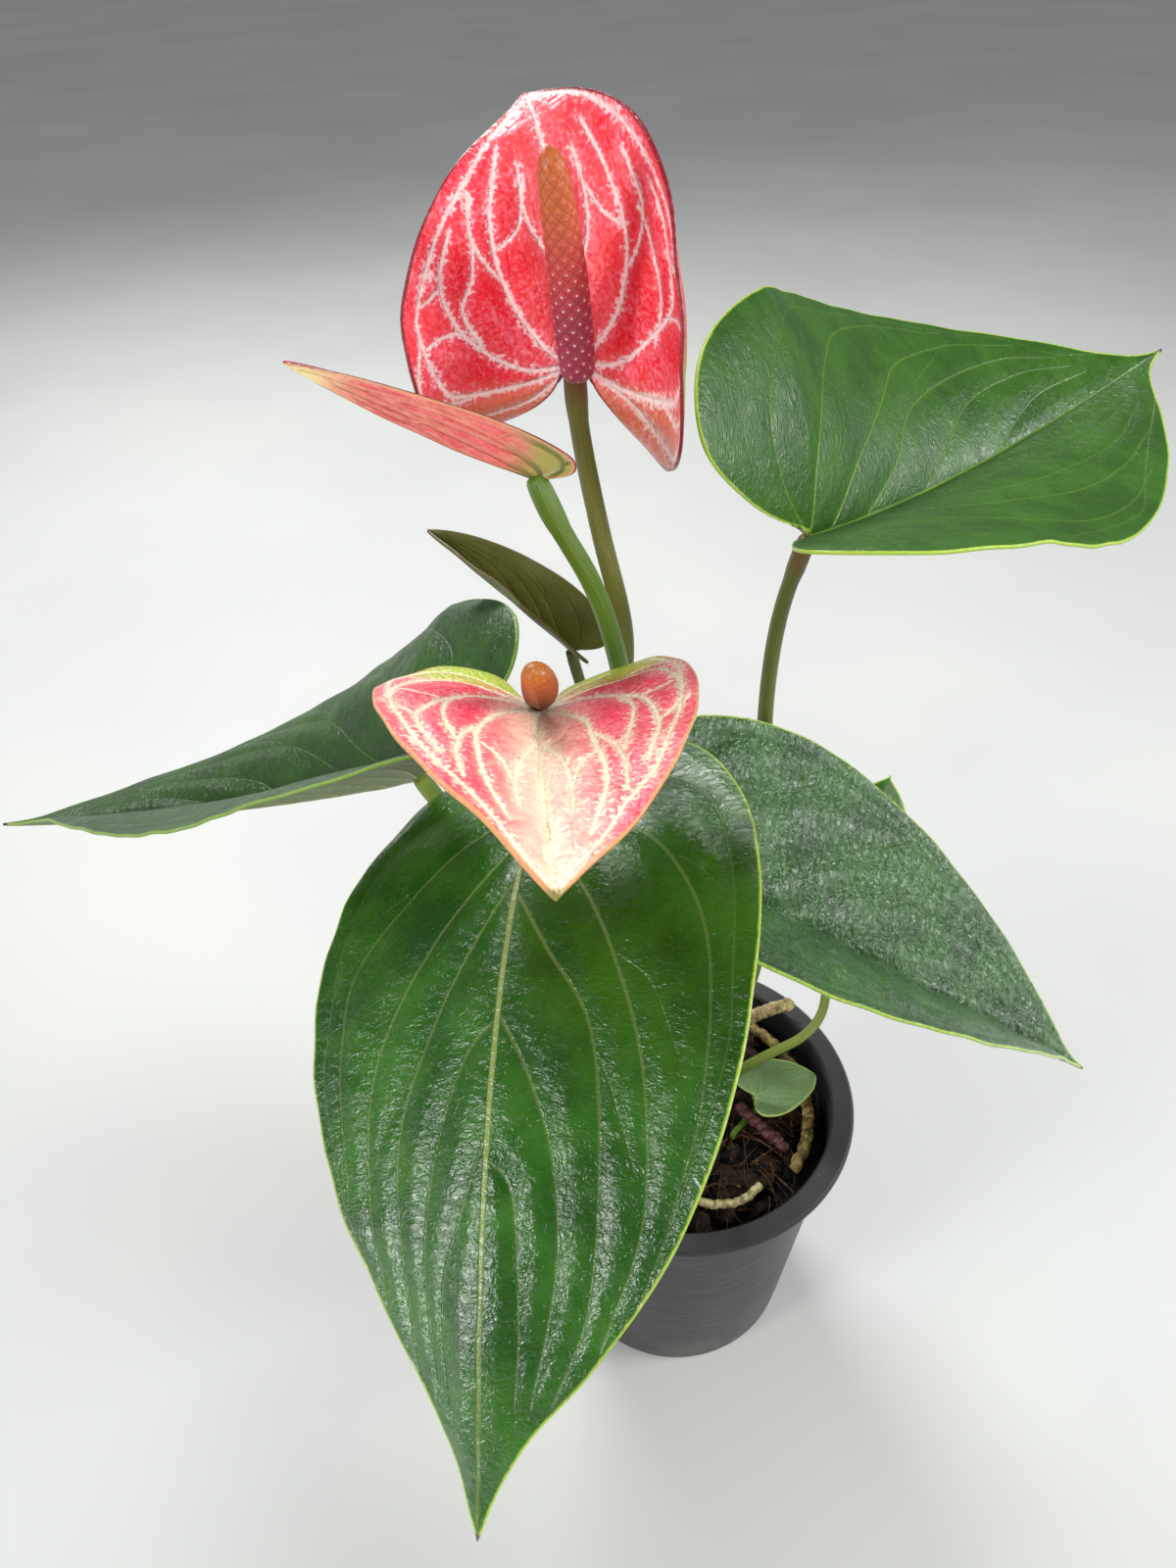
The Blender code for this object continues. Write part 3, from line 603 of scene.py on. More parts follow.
# %% Blade builder
def set_uv(mesh, name, values):
    layer = mesh.uv_layers.new(name=name)
    layer.data.foreach_set("uv", np.ascontiguousarray(values, np.float32).ravel())


def publish(obj, node):
    """Puts a finished piece in the scene in place of its solid, on the plant's one body."""
    bpy.context.scene.collection.objects.link(obj)
    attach(obj, "root")
    if node is not None:
        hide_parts(node)
    return obj


def flat_grid(name, rows, columns):
    """The bent sheet as a mesh, with each vertex's flat place across and along the blade."""
    blade = BLADES[name]
    bm = bmesh.new()
    bmesh.ops.create_grid(bm, x_segments=columns, y_segments=rows, size=1.0)
    grid = np.array([vert.co for vert in bm.verts])
    across, along = flat_blade(blade, (grid[:, 1] + 1) / 2, grid[:, 0])
    layers = [bm.verts.layers.float.new(axis) for axis in ("across", "along")]
    for vert, x, y, place in zip(bm.verts, across, along, bent(blade, across, along)):
        vert[layers[0]], vert[layers[1]] = x, y
        vert.co = place
    bmesh.ops.remove_doubles(bm, verts=bm.verts, dist=2e-5)
    mesh = bpy.data.meshes.new(name + "_blade")
    bm.to_mesh(mesh)
    bm.free()
    flat = np.empty((len(mesh.vertices), 2))
    for axis, layer in enumerate(("across", "along")):
        column = np.empty(len(flat))
        mesh.attributes[layer].data.foreach_get("value", column)
        flat[:, axis] = column
        mesh.attributes.remove(mesh.attributes[layer])
    return mesh, flat


# %% [markdown]
# Relief is three things added up: grooves over the veins, flesh and lumps between them, and a
# slow wave in the margin. It fades out close to the joint and the margin, so the sheet keeps
# its outline and still meets its stalk.

# %% Relief
GROOVE_WIDTH, FULL_GROOVE = 1.1, 0.4    # mm: beyond the vein, and the half width that sinks fully
FULL_FLESH = 5.0                        # mm from a vein, where the flesh is highest
STILL_MARGIN, STILL_JOINT = 0.004, 0.012    # metres over which the relief fades out
WAVE_BAND = 0.010                       # metres that the margin's waves reach inwards
WAVE_PITCHES = (0.045, 0.028, 0.017)    # metres
LUMPS_PER_METRE = 90


def relief_lift(flat, distance, half, margin, relief, seed):
    """How far each vertex moves along its normal, in metres."""
    sink, swell, wave = relief
    groove = np.exp(-(distance / (GROOVE_WIDTH + half)) ** 2) * np.minimum(half / FULL_GROOVE, 1.6)
    flesh = np.minimum(distance / FULL_FLESH, 1.0) ** 1.2
    from_joint = np.linalg.norm(flat, axis=1)
    quiet = np.clip(margin / STILL_MARGIN, 0.0, 1.0) * np.clip(from_joint / STILL_JOINT, 0.0, 1.0)
    phase = np.random.default_rng(seed + 50).uniform(0, math.tau, 3)
    ruffle = sum(
        np.sin(flat[:, 1] * math.tau / pitch + turn + np.sign(flat[:, 0]))
        for pitch, turn in zip(WAVE_PITCHES, phase)
    )
    near = flat * LUMPS_PER_METRE
    lumps = np.array([noise.noise(Vector((x, y, seed))) for x, y in near])
    edge = np.exp(-margin / WAVE_BAND)
    return quiet * (flesh * swell - groove * sink + lumps * swell * 0.5) + edge * ruffle * wave / 3


# %% [markdown]
# The whole blade: grid, veins, relief, then the maps that its finishes read. A short blade
# has finer veins than a long one.

# %% Blade
LEAF_MIDRIB, SPATHE_MIDRIB = (0.62, 0.22), (1.0, 0.35)  # half widths in mm, at joint and tip
FULL_VEIN_LENGTH = 0.14     # metres: a blade this long has veins at full width


def make_blade(name, rows, columns, paths, relief, finishes, thickness, seed):
    """relief: depth of the veins, height of the flesh between them, margin wave, in metres."""
    blade = BLADES[name]
    mesh, flat = flat_grid(name, rows, columns)
    midrib = SPATHE_MIDRIB if paths is SPATHE_VEINS else LEAF_MIDRIB
    share = np.clip(blade["length"] / FULL_VEIN_LENGTH, 0.45, 1.0)
    lines = vein_lines(blade, paths, midrib, seed)
    lines = [(line, start * share, end * share) for line, start, end in lines]
    veins, distance, half = corner_veins(mesh, flat, lines)
    margin = margin_distance(blade, flat)
    lift = relief_lift(flat, distance, half, margin, relief, seed)
    places, normals = np.empty((2, 3 * len(flat)))
    mesh.vertices.foreach_get("co", places)
    mesh.vertex_normals.foreach_get("vector", normals)
    mesh.vertices.foreach_set("co", places + normals * np.repeat(lift, 3))
    corner = np.empty(len(mesh.loops), np.int64)
    mesh.loops.foreach_get("vertex_index", corner)
    set_uv(mesh, "flat", flat[corner] * 10)
    set_uv(mesh, "vein", veins)
    set_uv(mesh, "edge", np.stack([margin * 1000, flat[:, 1] / blade["length"]], 1)[corner])
    mesh.shade_smooth()
    for finish in finishes:
        mesh.materials.append(finish)
    obj = bpy.data.objects.new(name + "_blade", mesh)
    wall = obj.modifiers.new("thickness", "SOLIDIFY")
    wall.thickness = thickness
    wall.offset = 0.0
    wall.material_offset = 1
    print(name, len(mesh.polygons), "faces,", len(lines), "veins")
    return publish(obj, name)


# %% [markdown]
# ## Leaf finishes
# A mature leaf is deep green with a thick clear wax over it, so it gets a sharp coat above a
# softer body. Veins are paler. The edge is a thin yellow-green line, and the very tip is a
# dry brown point. Fine cross wrinkles in the bump make the highlights look wet and broken.


# %% Leaf materials
def vein_mask(finish, soft, fuzz=None):
    """1 on a vein, falling to 0 over soft millimetres beyond its half width."""
    vein = finish.place("vein")
    distance = finish.math("ABSOLUTE", finish.part(vein, "X"))
    if fuzz is not None:
        distance = finish.plus(distance, fuzz)
    half = finish.part(vein, "Y")
    inside = finish.minus(finish.plus(half, soft), distance)
    mask = finish.math("DIVIDE", inside, soft, clamp=True)
    return mask, half


def dry_tip(finish, colour, edge):
    return finish.mix(finish.ramp(finish.part(edge, "Y"), 0.986, 0.993), colour, tint(82, 50, 26))


def leaf_upper(name, deep, fresh, vein_colour, rim_colour, roughness, coat, wrinkle, vein_share=0.75):
    finish = Finish(name, roughness, coat, 0.5, 0.05)
    flat = finish.place("flat")
    edge = finish.place("edge")
    broad = finish.ramp(finish.grain(flat, 5.0, 4.0), 0.35, 0.66)
    colour = finish.mix(broad, deep, fresh)
    speckle = finish.ramp(finish.grain(flat, 160.0, 2.0), 0.35, 0.75)
    colour = finish.mix(speckle, colour, fresh, 0.28)
    line, half = vein_mask(finish, 0.34)
    colour = finish.mix(line, colour, vein_colour, finish.ramp(half, 0.06, 0.55, 0.05, vein_share))
    margin = finish.ragged(finish.part(edge, "X"), finish.grain(flat, 60.0, 2.0), 0.5, 0.0)
    colour = finish.mix(finish.ramp(margin, 0.35, 0.95, 1.0, 0.0), colour, rim_colour)
    colour = dry_tip(finish, colour, edge)
    gloss = finish.ramp(finish.grain(flat, 22.0, 3.0), 0.3, 0.7, roughness - 0.07, roughness + 0.08)
    fine = finish.grain(finish.stretch(flat, 1.0, 1.8), 75.0, 5.0, 0.62, 0.3)
    crease = finish.grain(finish.stretch(flat, 1.0, 1.5), 34.0, 3.0, 0.6, 0.6)
    crease = finish.math("ABSOLUTE", finish.minus(crease, 0.5))
    normal = finish.bump(fine, 0.00020 * wrinkle)
    normal = finish.bump(crease, 0.0011 * wrinkle, normal)
    normal = finish.bump(finish.grain(flat, 30.0, 3.0, 0.5), 0.00040 * wrinkle, normal)
    normal = finish.bump(finish.minus(1.0, line), 0.00012, normal)
    return finish.done(colour, gloss, normal)


def leaf_under(name, body, vein_colour, rim_colour):
    finish = Finish(name, 0.55, 0.05, 0.35, 0.05)
    flat = finish.place("flat")
    edge = finish.place("edge")
    colour = finish.mix(finish.grain(flat, 8.0, 4.0), body, vein_colour, 0.5)
    line, _ = vein_mask(finish, 0.6)
    colour = finish.mix(line, colour, vein_colour, 0.75)
    colour = finish.mix(finish.ramp(finish.part(edge, "X"), 0.3, 0.8, 1.0, 0.0), colour, rim_colour)
    colour = dry_tip(finish, colour, edge)
    rough = finish.ramp(finish.grain(flat, 40.0, 3.0), 0.3, 0.7, 0.46, 0.62)
    net = finish.ramp(finish.cells(flat, 30.0, "DISTANCE_TO_EDGE"), 0.0, 0.12)
    normal = finish.bump(net, -0.0001)
    normal = finish.bump(finish.grain(flat, 90.0, 4.0), 0.0002, normal)
    normal = finish.bump(line, 0.0003, normal)
    return finish.done(colour, rough, normal)


# %% [markdown]
# The last numbers of each upper finish are its roughness, its coat, how deep its wrinkles
# are, and how strongly its veins show.

# %% Leaf colours
LIME_RIM = tint(158, 186, 60)
glossy_green = leaf_upper(
    "glossy_leaf", tint(18, 66, 0), tint(44, 96, 12), tint(150, 164, 92), LIME_RIM, 0.28, 0.6, 0.55,
)
wet_green = leaf_upper(
    "wet_leaf", tint(16, 64, 0), tint(40, 94, 14), tint(96, 132, 56), LIME_RIM, 0.24, 0.9, 1.3, 0.3,
)
even_green = leaf_upper(
    "even_leaf", tint(34, 76, 8), tint(50, 96, 18), tint(136, 176, 44), LIME_RIM, 0.42, 0.12, 0.5, 0.6,
)
dark_green = leaf_upper(
    "dark_leaf", tint(24, 56, 4), tint(40, 78, 12), tint(84, 116, 44), tint(120, 150, 60),
    0.45, 0.12, 0.6, 0.3,
)
young_green = leaf_upper(
    "young_leaf", tint(72, 76, 14), tint(92, 94, 28), tint(116, 116, 44), tint(96, 84, 34),
    0.42, 0.12, 0.5,
)
pale_green = leaf_upper(
    "seedling_leaf", tint(84, 112, 62), tint(110, 138, 84), tint(140, 160, 100), tint(150, 172, 92),
    0.55, 0.0, 0.6,
)
under = leaf_under("leaf_underside", tint(84, 104, 62), tint(138, 152, 92), tint(146, 164, 70))
young_under = leaf_under("young_underside", tint(66, 82, 40), tint(104, 118, 66), tint(96, 92, 40))

# %% [markdown]
# Each leaf gives its rows and columns of faces, its relief, the finishes of its two faces,
# its thickness in metres, and a seed that makes its veins its own.

# %% Leaves
LEAVES = {
    "leaf_front": (170, 120, (0.00025, 0.00055, 0.0005), (glossy_green, under), 0.0008, 3),
    "leaf_right": (160, 116, (0.0004, 0.0011, 0.0004), (wet_green, under), 0.0008, 5),
    "leaf_upper_right": (170, 124, (0.00012, 0.00035, 0.0003), (even_green, under), 0.0008, 8),
    "leaf_left": (160, 110, (0.0003, 0.0006, 0.0004), (dark_green, under), 0.0008, 11),
    "leaf_young": (80, 56, (0.0002, 0.0004, 0.0006), (young_green, young_under), 0.0007, 14),
    "leaf_back": (80, 56, (0.0002, 0.0004, 0.0004), (even_green, under), 0.0007, 17),
    "leaf_small": (48, 40, (0.0001, 0.0003, 0.0004), (pale_green, pale_green), 0.0006, 20),
}
for name, (rows, columns, relief, finishes, thickness, seed) in LEAVES.items():
    make_blade(name, rows, columns, LEAF_VEINS, relief, finishes, thickness, seed)

# %% [markdown]
# ## Spathe finishes
# A spathe is a waxy coloured leaf. The red sits in fine grains over a pink ground, thin near
# the veins, so the veins show as broad soft cream lines with ragged edges. Young spathes
# keep green in their lobes. The back is smoother, paler and less marked.


# %% Spathe materials
def spathe_face(
    name, red, pink, cream, rim_colour, lobe_green, green_share, cream_share, tip_colour,
    halo_width, heart_share,
):
    finish = Finish(name, 0.28, 0.35, 0.5, 0.12)
    flat = finish.place("flat")
    edge = finish.place("edge")
    # The red ground: grains, specks and broad clouds together decide how pink it is.
    grains = finish.grain(flat, 95.0, 4.0, 0.7)
    mottle = finish.plus(finish.times(grains, 0.8), finish.times(finish.cells(flat, 120.0), 0.35))
    broad = finish.grain(flat, 7.0, 3.0)
    mottle = finish.ragged(mottle, broad, 0.55)
    colour = finish.mix(finish.ramp(mottle, 0.50, 0.92), red, pink)
    # Round the veins the red thins to crumbs over pink, and along the rib to a cream heart.
    fuzz = finish.times(finish.minus(finish.grain(flat, 70.0, 3.0), 0.5), 1.6)
    halo, _ = vein_mask(finish, halo_width, fuzz)
    colour = finish.mix(halo, colour, pink, 0.45)
    crumbs = finish.ramp(finish.plus(mottle, finish.times(halo, 0.42)), 0.86, 1.02)
    colour = finish.mix(crumbs, colour, cream, cream_share)
    from_rib = finish.math("ABSOLUTE", finish.part(flat, "X"))
    from_rib = finish.ragged(from_rib, finish.grain(flat, 30.0, 4.0), 0.12, 0.0)
    colour = finish.mix(finish.ramp(from_rib, 0.05, 0.20, 1.0, 0.0), colour, cream, heart_share)
    # The veins are ragged cream lines, with a net of pink between them.
    fine_fuzz = finish.times(finish.minus(finish.grain(flat, 110.0, 2.0), 0.5), 0.9)
    line, _ = vein_mask(finish, 0.55, fine_fuzz)
    colour = finish.mix(line, colour, cream, 0.92)
    warped = finish.stretch(flat, 1.0, 0.7)
    net = finish.ramp(finish.cells(warped, 11.0, "DISTANCE_TO_EDGE"), 0.0, 0.10, 1.0, 0.0)
    net = finish.times(net, finish.ramp(broad, 0.42, 0.62))
    colour = finish.mix(net, colour, pink, 0.38)
    # The lobes may stay green, the margin is a thin line, and the tip is its own colour.
    behind = finish.ragged(finish.part(edge, "Y"), finish.grain(flat, 14.0, 3.0), 0.10, 0.0)
    green = finish.ramp(behind, -0.08, 0.03, green_share, 0.0)
    colour = finish.mix(green, colour, lobe_green, finish.minus(1.0, line))
    margin = finish.ragged(finish.part(edge, "X"), finish.grain(flat, 50.0, 2.0), 0.5, 0.0)
    colour = finish.mix(finish.ramp(margin, 0.35, 0.9, 1.0, 0.0), colour, rim_colour)
    colour = finish.mix(finish.ramp(finish.part(edge, "Y"), 0.965, 0.99), colour, tip_colour)
    gloss = finish.ramp(grains, 0.3, 0.7, 0.22, 0.36)
    pebbles = finish.ramp(finish.cells(warped, 24.0, "DISTANCE_TO_EDGE"), 0.0, 0.12)
    normal = finish.bump(finish.grain(flat, 55.0, 5.0, 0.6, 0.3), 0.0006)
    normal = finish.bump(pebbles, 0.00012, normal)
    normal = finish.bump(finish.minus(1.0, line), 0.00025, normal)
    return finish.done(colour, gloss, normal)


# %% [markdown]
# The back of a spathe has no cream lines, only streaks and faint veins. It goes green where
# it joins its stalk.


# %% Spathe back
def spathe_outside(name, coral, pale, rim_colour, base_green, tip_colour):
    """The back of a spathe: coral, greener towards the stem, with a paler tip."""
    finish = Finish(name, 0.38, 0.15, 0.5, 0.10)
    flat = finish.place("flat")
    edge = finish.place("edge")
    streaks = finish.grain(finish.stretch(flat, 3.0, 0.8), 30.0, 4.0, 0.65)
    colour = finish.mix(finish.ramp(streaks, 0.36, 0.70), coral, pale)
    line, _ = vein_mask(finish, 0.5)
    colour = finish.mix(line, colour, rim_colour, 0.35)
    along = finish.ragged(finish.part(edge, "Y"), finish.grain(flat, 18.0, 3.0), 0.12, 0.0)
    base = finish.ramp(along, 0.05, 0.22, 1.0, 0.0)
    colour = finish.mix(base, colour, base_green)
    colour = finish.mix(finish.times(line, base), colour, tint(70, 86, 36), 0.7)
    colour = finish.mix(finish.ramp(along, 0.72, 0.98), colour, tip_colour)
    rim = finish.ramp(finish.part(edge, "X"), 0.25, 0.8, 1.0, 0.0)
    colour = finish.mix(rim, colour, rim_colour, 0.8)
    gloss = finish.ramp(streaks, 0.3, 0.7, 0.32, 0.46)
    normal = finish.bump(finish.grain(flat, 60.0, 4.0), 0.0004)
    normal = finish.bump(line, 0.0003, normal)
    return finish.done(colour, gloss, normal)


# %% [markdown]
# The ripe spathe is red with a narrow cream rib, and the young one is mostly pink and cream.

# %% Spathe colours
ripe_face = spathe_face(
    "ripe_spathe_face", tint(234, 14, 38), tint(250, 118, 138), tint(254, 222, 220),
    tint(132, 16, 34), tint(206, 176, 110), 0.30, 0.85, tint(214, 60, 74), 2.4, 0.12,
)
young_face = spathe_face(
    "young_spathe_face", tint(238, 46, 84), tint(250, 150, 150), tint(252, 240, 206),
    tint(220, 150, 96), tint(176, 192, 72), 1.0, 0.8, tint(150, 130, 70), 3.0, 0.75,
)
coral_back = spathe_outside(
    "coral_spathe_back", tint(208, 74, 84), tint(228, 132, 126), tint(196, 150, 108),
    tint(150, 148, 78), tint(232, 210, 152),
)
ripe_back = spathe_outside(
    "ripe_spathe_back", tint(196, 60, 72), tint(222, 120, 118), tint(150, 170, 74),
    tint(170, 180, 84), tint(200, 80, 84),
)

# %% Spathes
SPATHES = {
    "spathe_top": (130, 120, (0.0004, 0.0009, 0.0006), (ripe_face, ripe_back), 0.0008, 31),
    "spathe_left": (110, 90, (0.0002, 0.0003, 0.0002), (ripe_face, coral_back), 0.0007, 34),
    "spathe_front": (120, 110, (0.0003, 0.0008, 0.0006), (young_face, ripe_back), 0.0008, 37),
}
for name, (rows, columns, relief, finishes, thickness, seed) in SPATHES.items():
    make_blade(name, rows, columns, SPATHE_VEINS, relief, finishes, thickness, seed)

# %% [markdown]
# ## Round, long things
# Stems, roots and spadices are all tubes, so they share one builder: a grid rolled round a
# smooth line. The seam is welded and the ends are closed with a few shrinking rings, which
# keeps the tube one closed skin. Its UV map holds turns round it and distance along it.


# %% Tube builder
def ring_frames(centres):
    """Two directions across the line at each centre, carried along without twisting."""
    ahead = np.gradient(centres, axis=0)
    ahead /= np.linalg.norm(ahead, axis=1)[:, None]
    seed = np.array((0.0, 1.0, 0.0)) if abs(ahead[0, 1]) < 0.8 else np.array((1.0, 0.0, 0.0))
    sideways = []
    for direction in ahead:
        seed = seed - direction * (seed @ direction)
        seed /= np.linalg.norm(seed)
        sideways.append(seed)
    sideways = np.array(sideways)
    return ahead, sideways, np.cross(ahead, sideways)


def roll_tube(bm, centres, radii, sides, bumps=None):
    """Adds a closed tube to bm. bumps(turn, distance) returns how far the skin stands out."""
    centres, radii = np.array(centres, float), np.array(radii, float)
    run = np.concatenate([[0.0], np.cumsum(np.linalg.norm(np.diff(centres, axis=0), axis=1))])
    ahead, sideways, across = ring_frames(centres)
    rows = [(run[i], centres[i], radii[i], i) for i in range(len(centres))]
    for quarter in np.linspace(0.0, math.pi / 2, 4)[1:]:
        c, s = math.sin(quarter), math.cos(quarter)
        butt, tip = radii[0], radii[-1]
        rows.insert(0, (run[0] - butt * c, centres[0] - ahead[0] * butt * c * 0.3, butt * s, 0))
        rows.append((run[-1] + tip * c, centres[-1] + ahead[-1] * tip * c * 0.6, tip * s, -1))
    made = bmesh.ops.create_grid(bm, x_segments=sides, y_segments=len(rows) - 1, size=1.0)["verts"]
    layer = bm.loops.layers.uv.get("round") or bm.loops.layers.uv.new("round")
    spots = {}
    for vert in made:
        turn = (vert.co.x + 1) / 2
        row = int(round((vert.co.y + 1) / 2 * (len(rows) - 1)))
        distance, centre, radius, i = rows[row]
        angle = math.tau * turn
        grow = radius + (bumps(turn, distance) * radius / max(radii) if bumps else 0.0)
        away = sideways[i] * (math.cos(angle) * grow) + across[i] * (math.sin(angle) * grow)
        spots[vert] = (turn, distance, centre + away)
    for face in {face for vert in made for face in vert.link_faces}:
        for loop in face.loops:
            turn, distance, _ = spots[loop.vert]
            loop[layer].uv = (turn, distance * 10)
    for vert in made:
        vert.co = spots[vert][2]
    bmesh.ops.remove_doubles(bm, verts=made, dist=1e-6)


# %% [markdown]
# The pot and the crown are turned shapes. Half a section spun round the upright axis makes
# them, and any bmesh becomes a finished object the same way.


# %% Turned shapes and finished objects
def turn_profile(profile, steps):
    """A bmesh of a closed profile of (radius, height), turned round the upright axis."""
    bm = bmesh.new()
    corners = [bm.verts.new((radius, 0.0, height)) for radius, height in profile]
    edges = [bm.edges.new(pair) for pair in zip(corners, corners[1:])]
    bmesh.ops.spin(
        bm, geom=corners + edges, cent=(0, 0, 0), axis=(0, 0, 1), angle=math.tau, steps=steps,
        use_merge=True,
    )
    bmesh.ops.remove_doubles(bm, verts=bm.verts, dist=1e-6)
    return bm


def skin_object(name, bm, finish):
    """The finished mesh object, its normals made to face outwards."""
    bmesh.ops.recalc_face_normals(bm, faces=bm.faces)
    mesh = bpy.data.meshes.new(name)
    bm.to_mesh(mesh)
    bm.free()
    mesh.shade_smooth()
    mesh.materials.append(finish)
    print(name, len(mesh.polygons), "faces")
    return bpy.data.objects.new(name, mesh)


# %% [markdown]
# ## Stems
# A petiole or peduncle is a firm round stalk with fine ribs. Just under its blade it swells
# into a joint, the geniculum, which is often browner. Each route below passes through the
# same points as the solid stem, and ends under the same blade.

# %% Stem routes
PETIOLE_RADIUS = 0.0026
PEDUNCLE_RADIUS = 0.0028
THIN_PETIOLE_RADIUS = 0.0016
SPADIX_RADIUS = 0.0042
ROOT_RADIUS = 0.0019
STEM_RING_RADIUS = 0.76 * CROWN_RADIUS
STEM_TOP_SHARE = 0.8
SHEET_THICKNESS = 0.0009
GAP = 0.0003
# A stem's foot stands on the crown's ring at this angle from +X. Its route passes through
# points (x, y, height above the potting mix) and ends under its blade.
STEMS = {
    "petiole_front": dict(
        foot=275, radius=PETIOLE_RADIUS, blade="leaf_front",
        route=((-0.012, -0.020, 0.060), (-0.030, -0.022, 0.112), (-0.038, -0.0195, 0.135)),
    ),
    "petiole_right": dict(
        foot=318, radius=PETIOLE_RADIUS, blade="leaf_right",
        route=((0.005, -0.006, 0.050), (0.001, -0.003, 0.092)),
    ),
    "petiole_upper_right": dict(
        foot=40, radius=PETIOLE_RADIUS, blade="leaf_upper_right",
        route=(
            (0.0255, 0.029, 0.034), (0.029, 0.044, 0.080), (0.025, 0.0475, 0.121),
            (0.0262, 0.047, 0.158),
        ),
    ),
    "petiole_left": dict(
        foot=195, radius=PETIOLE_RADIUS, blade="leaf_left",
        route=((-0.025, 0.002, 0.035), (-0.050, 0.014, 0.076), (-0.0675, 0.0165, 0.1205)),
    ),
    "petiole_young": dict(
        foot=118, radius=THIN_PETIOLE_RADIUS, blade="leaf_young",
        route=((-0.014, 0.021, 0.070), (-0.0245, 0.031, 0.130)),
    ),
    "petiole_back": dict(
        foot=0, radius=THIN_PETIOLE_RADIUS, blade="leaf_back",
        route=(
            (0.0189, 0.0015, 0.018), (0.0290, 0.0010, 0.028), (0.0373, 0.0005, 0.036),
            (0.0425, 0.0030, 0.044), (0.0440, 0.0120, 0.058),
        ),
    ),
    "peduncle_top": dict(
        foot=82, radius=PEDUNCLE_RADIUS, blade="spathe_top",
        route=(
            (-0.012, 0.024, 0.090), (-0.0180, 0.028, 0.138), (-0.0167, 0.026, 0.165),
            (-0.0225, 0.033, 0.1914), (-0.0272, 0.0395, 0.217),
        ),
    ),
    "peduncle_left": dict(
        foot=155, radius=PEDUNCLE_RADIUS, blade="spathe_left",
        route=(
            (-0.0140, 0.013, 0.090), (-0.0175, 0.016, 0.148), (-0.0187, 0.010, 0.1668),
            (-0.0246, 0.0085, 0.1900), (-0.0324, 0.0095, 0.2050),
        ),
    ),
    "peduncle_front": dict(
        foot=235, radius=PEDUNCLE_RADIUS, blade="spathe_front",
        route=(
            (-0.025, -0.010, 0.055), (-0.036, -0.004, 0.112), (-0.0385, 0.000, 0.148),
            (-0.0378, -0.012, 0.167),
        ),
    ),
}

# A spadix leaves its spathe in this direction; stand_off lifts its foot clear of the fold.
SPADICES = {
    "spadix_top": dict(
        spathe="spathe_top", direction=(-0.10, -0.22, 1.0), length=0.047,
        radius=SPADIX_RADIUS, stand_off=0.0045,
    ),
    "spadix_left": dict(
        spathe="spathe_left", direction=(-0.912, 0.227, 0.342), length=0.024,
        radius=0.32 * SPADIX_RADIUS, stand_off=0.0040,
    ),
    "spadix_front": dict(
        spathe="spathe_front", direction=(0.0, -0.74, 0.67), length=0.028,
        radius=0.9 * SPADIX_RADIUS, stand_off=0.0036,
    ),
}

# Pieces lying on the potting mix pass through (share, degrees, rise): share runs from the
# crown to the mix's edge, degrees from +X, and rise is how far the piece is lifted.
RIM_ROOT_SPAN = (-36, 48)   # degrees
RIM_ROOT_RING = 1 - 3 * ROOT_RADIUS / BARE_MIX
RED_ROOT_END = RIM_ROOT_RING - 2.75 * ROOT_RADIUS / BARE_MIX    # stops short of the rim root
FRONT_ROOT = ((0.487, -97.1, 0.0), (0.646, -80.9, 0.001), (0.706, -65.5, 0.0), (0.684, -52.5, 0.0))
RED_ROOT = ((0.145, -13.5, 0.005), (0.388, -21.0, 0.0015), (RED_ROOT_END, -27.3, 0.0))
OLD_STALK = ((0.166, 54.1, 0.001), (0.460, 51.1, 0.007), (0.783, 43.1, 0.0115), (1.061, 37.2, 0.013))
THIN_ROOT_SHARE = 0.75      # of ROOT_RADIUS
STALK_SHARE = 1.2           # of ROOT_RADIUS

SMALL_PETIOLE_SHARE = 0.6   # of THIN_PETIOLE_RADIUS
SMALL_PETIOLE_FOOT = (0.161, -33.8)
SMALL_PETIOLE_NECK = 0.006
print(len(STEMS), "stems,", len(SPADICES), "spadices")


# %% [markdown]
# A stem's colour runs from foot to top, and its skin has fine streaks and pale flecks. The
# joint under the blade has a colour of its own.


# %% Stem materials
def stem_finish(name, foot_colour, top_colour, joint_colour, length, joint_share=0.9):
    """Colour runs from foot to top over the stem's length, and changes again at the joint."""
    finish = Finish(name, 0.36, 0.15, 0.5, 0.06)
    round_map = finish.place("round")
    along = finish.math("DIVIDE", finish.part(round_map, "Y"), length * 10)
    here = finish.place()
    along = finish.ragged(along, finish.grain(here, 60.0, 3.0), 0.14)
    colour = finish.mix(finish.ramp(along, 0.1, 0.95), foot_colour, top_colour)
    streaks = finish.grain(finish.stretch(round_map, 60.0, 3.0), 1.0, 3.0)
    colour = finish.mix(finish.ramp(streaks, 0.4, 0.75, 0.0, 0.18), colour, tint(150, 156, 70))
    flecks = finish.ramp(finish.cells(here, 900.0), 0.0, 0.22, 1.0, 0.0)
    colour = finish.mix(flecks, colour, tint(160, 160, 80), 0.2)
    joint = finish.ramp(along, joint_share, joint_share + 0.05)
    colour = finish.mix(joint, colour, joint_colour)
    rough = finish.ramp(streaks, 0.3, 0.7, 0.30, 0.44)
    normal = finish.bump(streaks, 0.0004)
    normal = finish.bump(finish.grain(here, 700.0, 3.0), 0.0001, normal)
    return finish.done(colour, rough, normal)


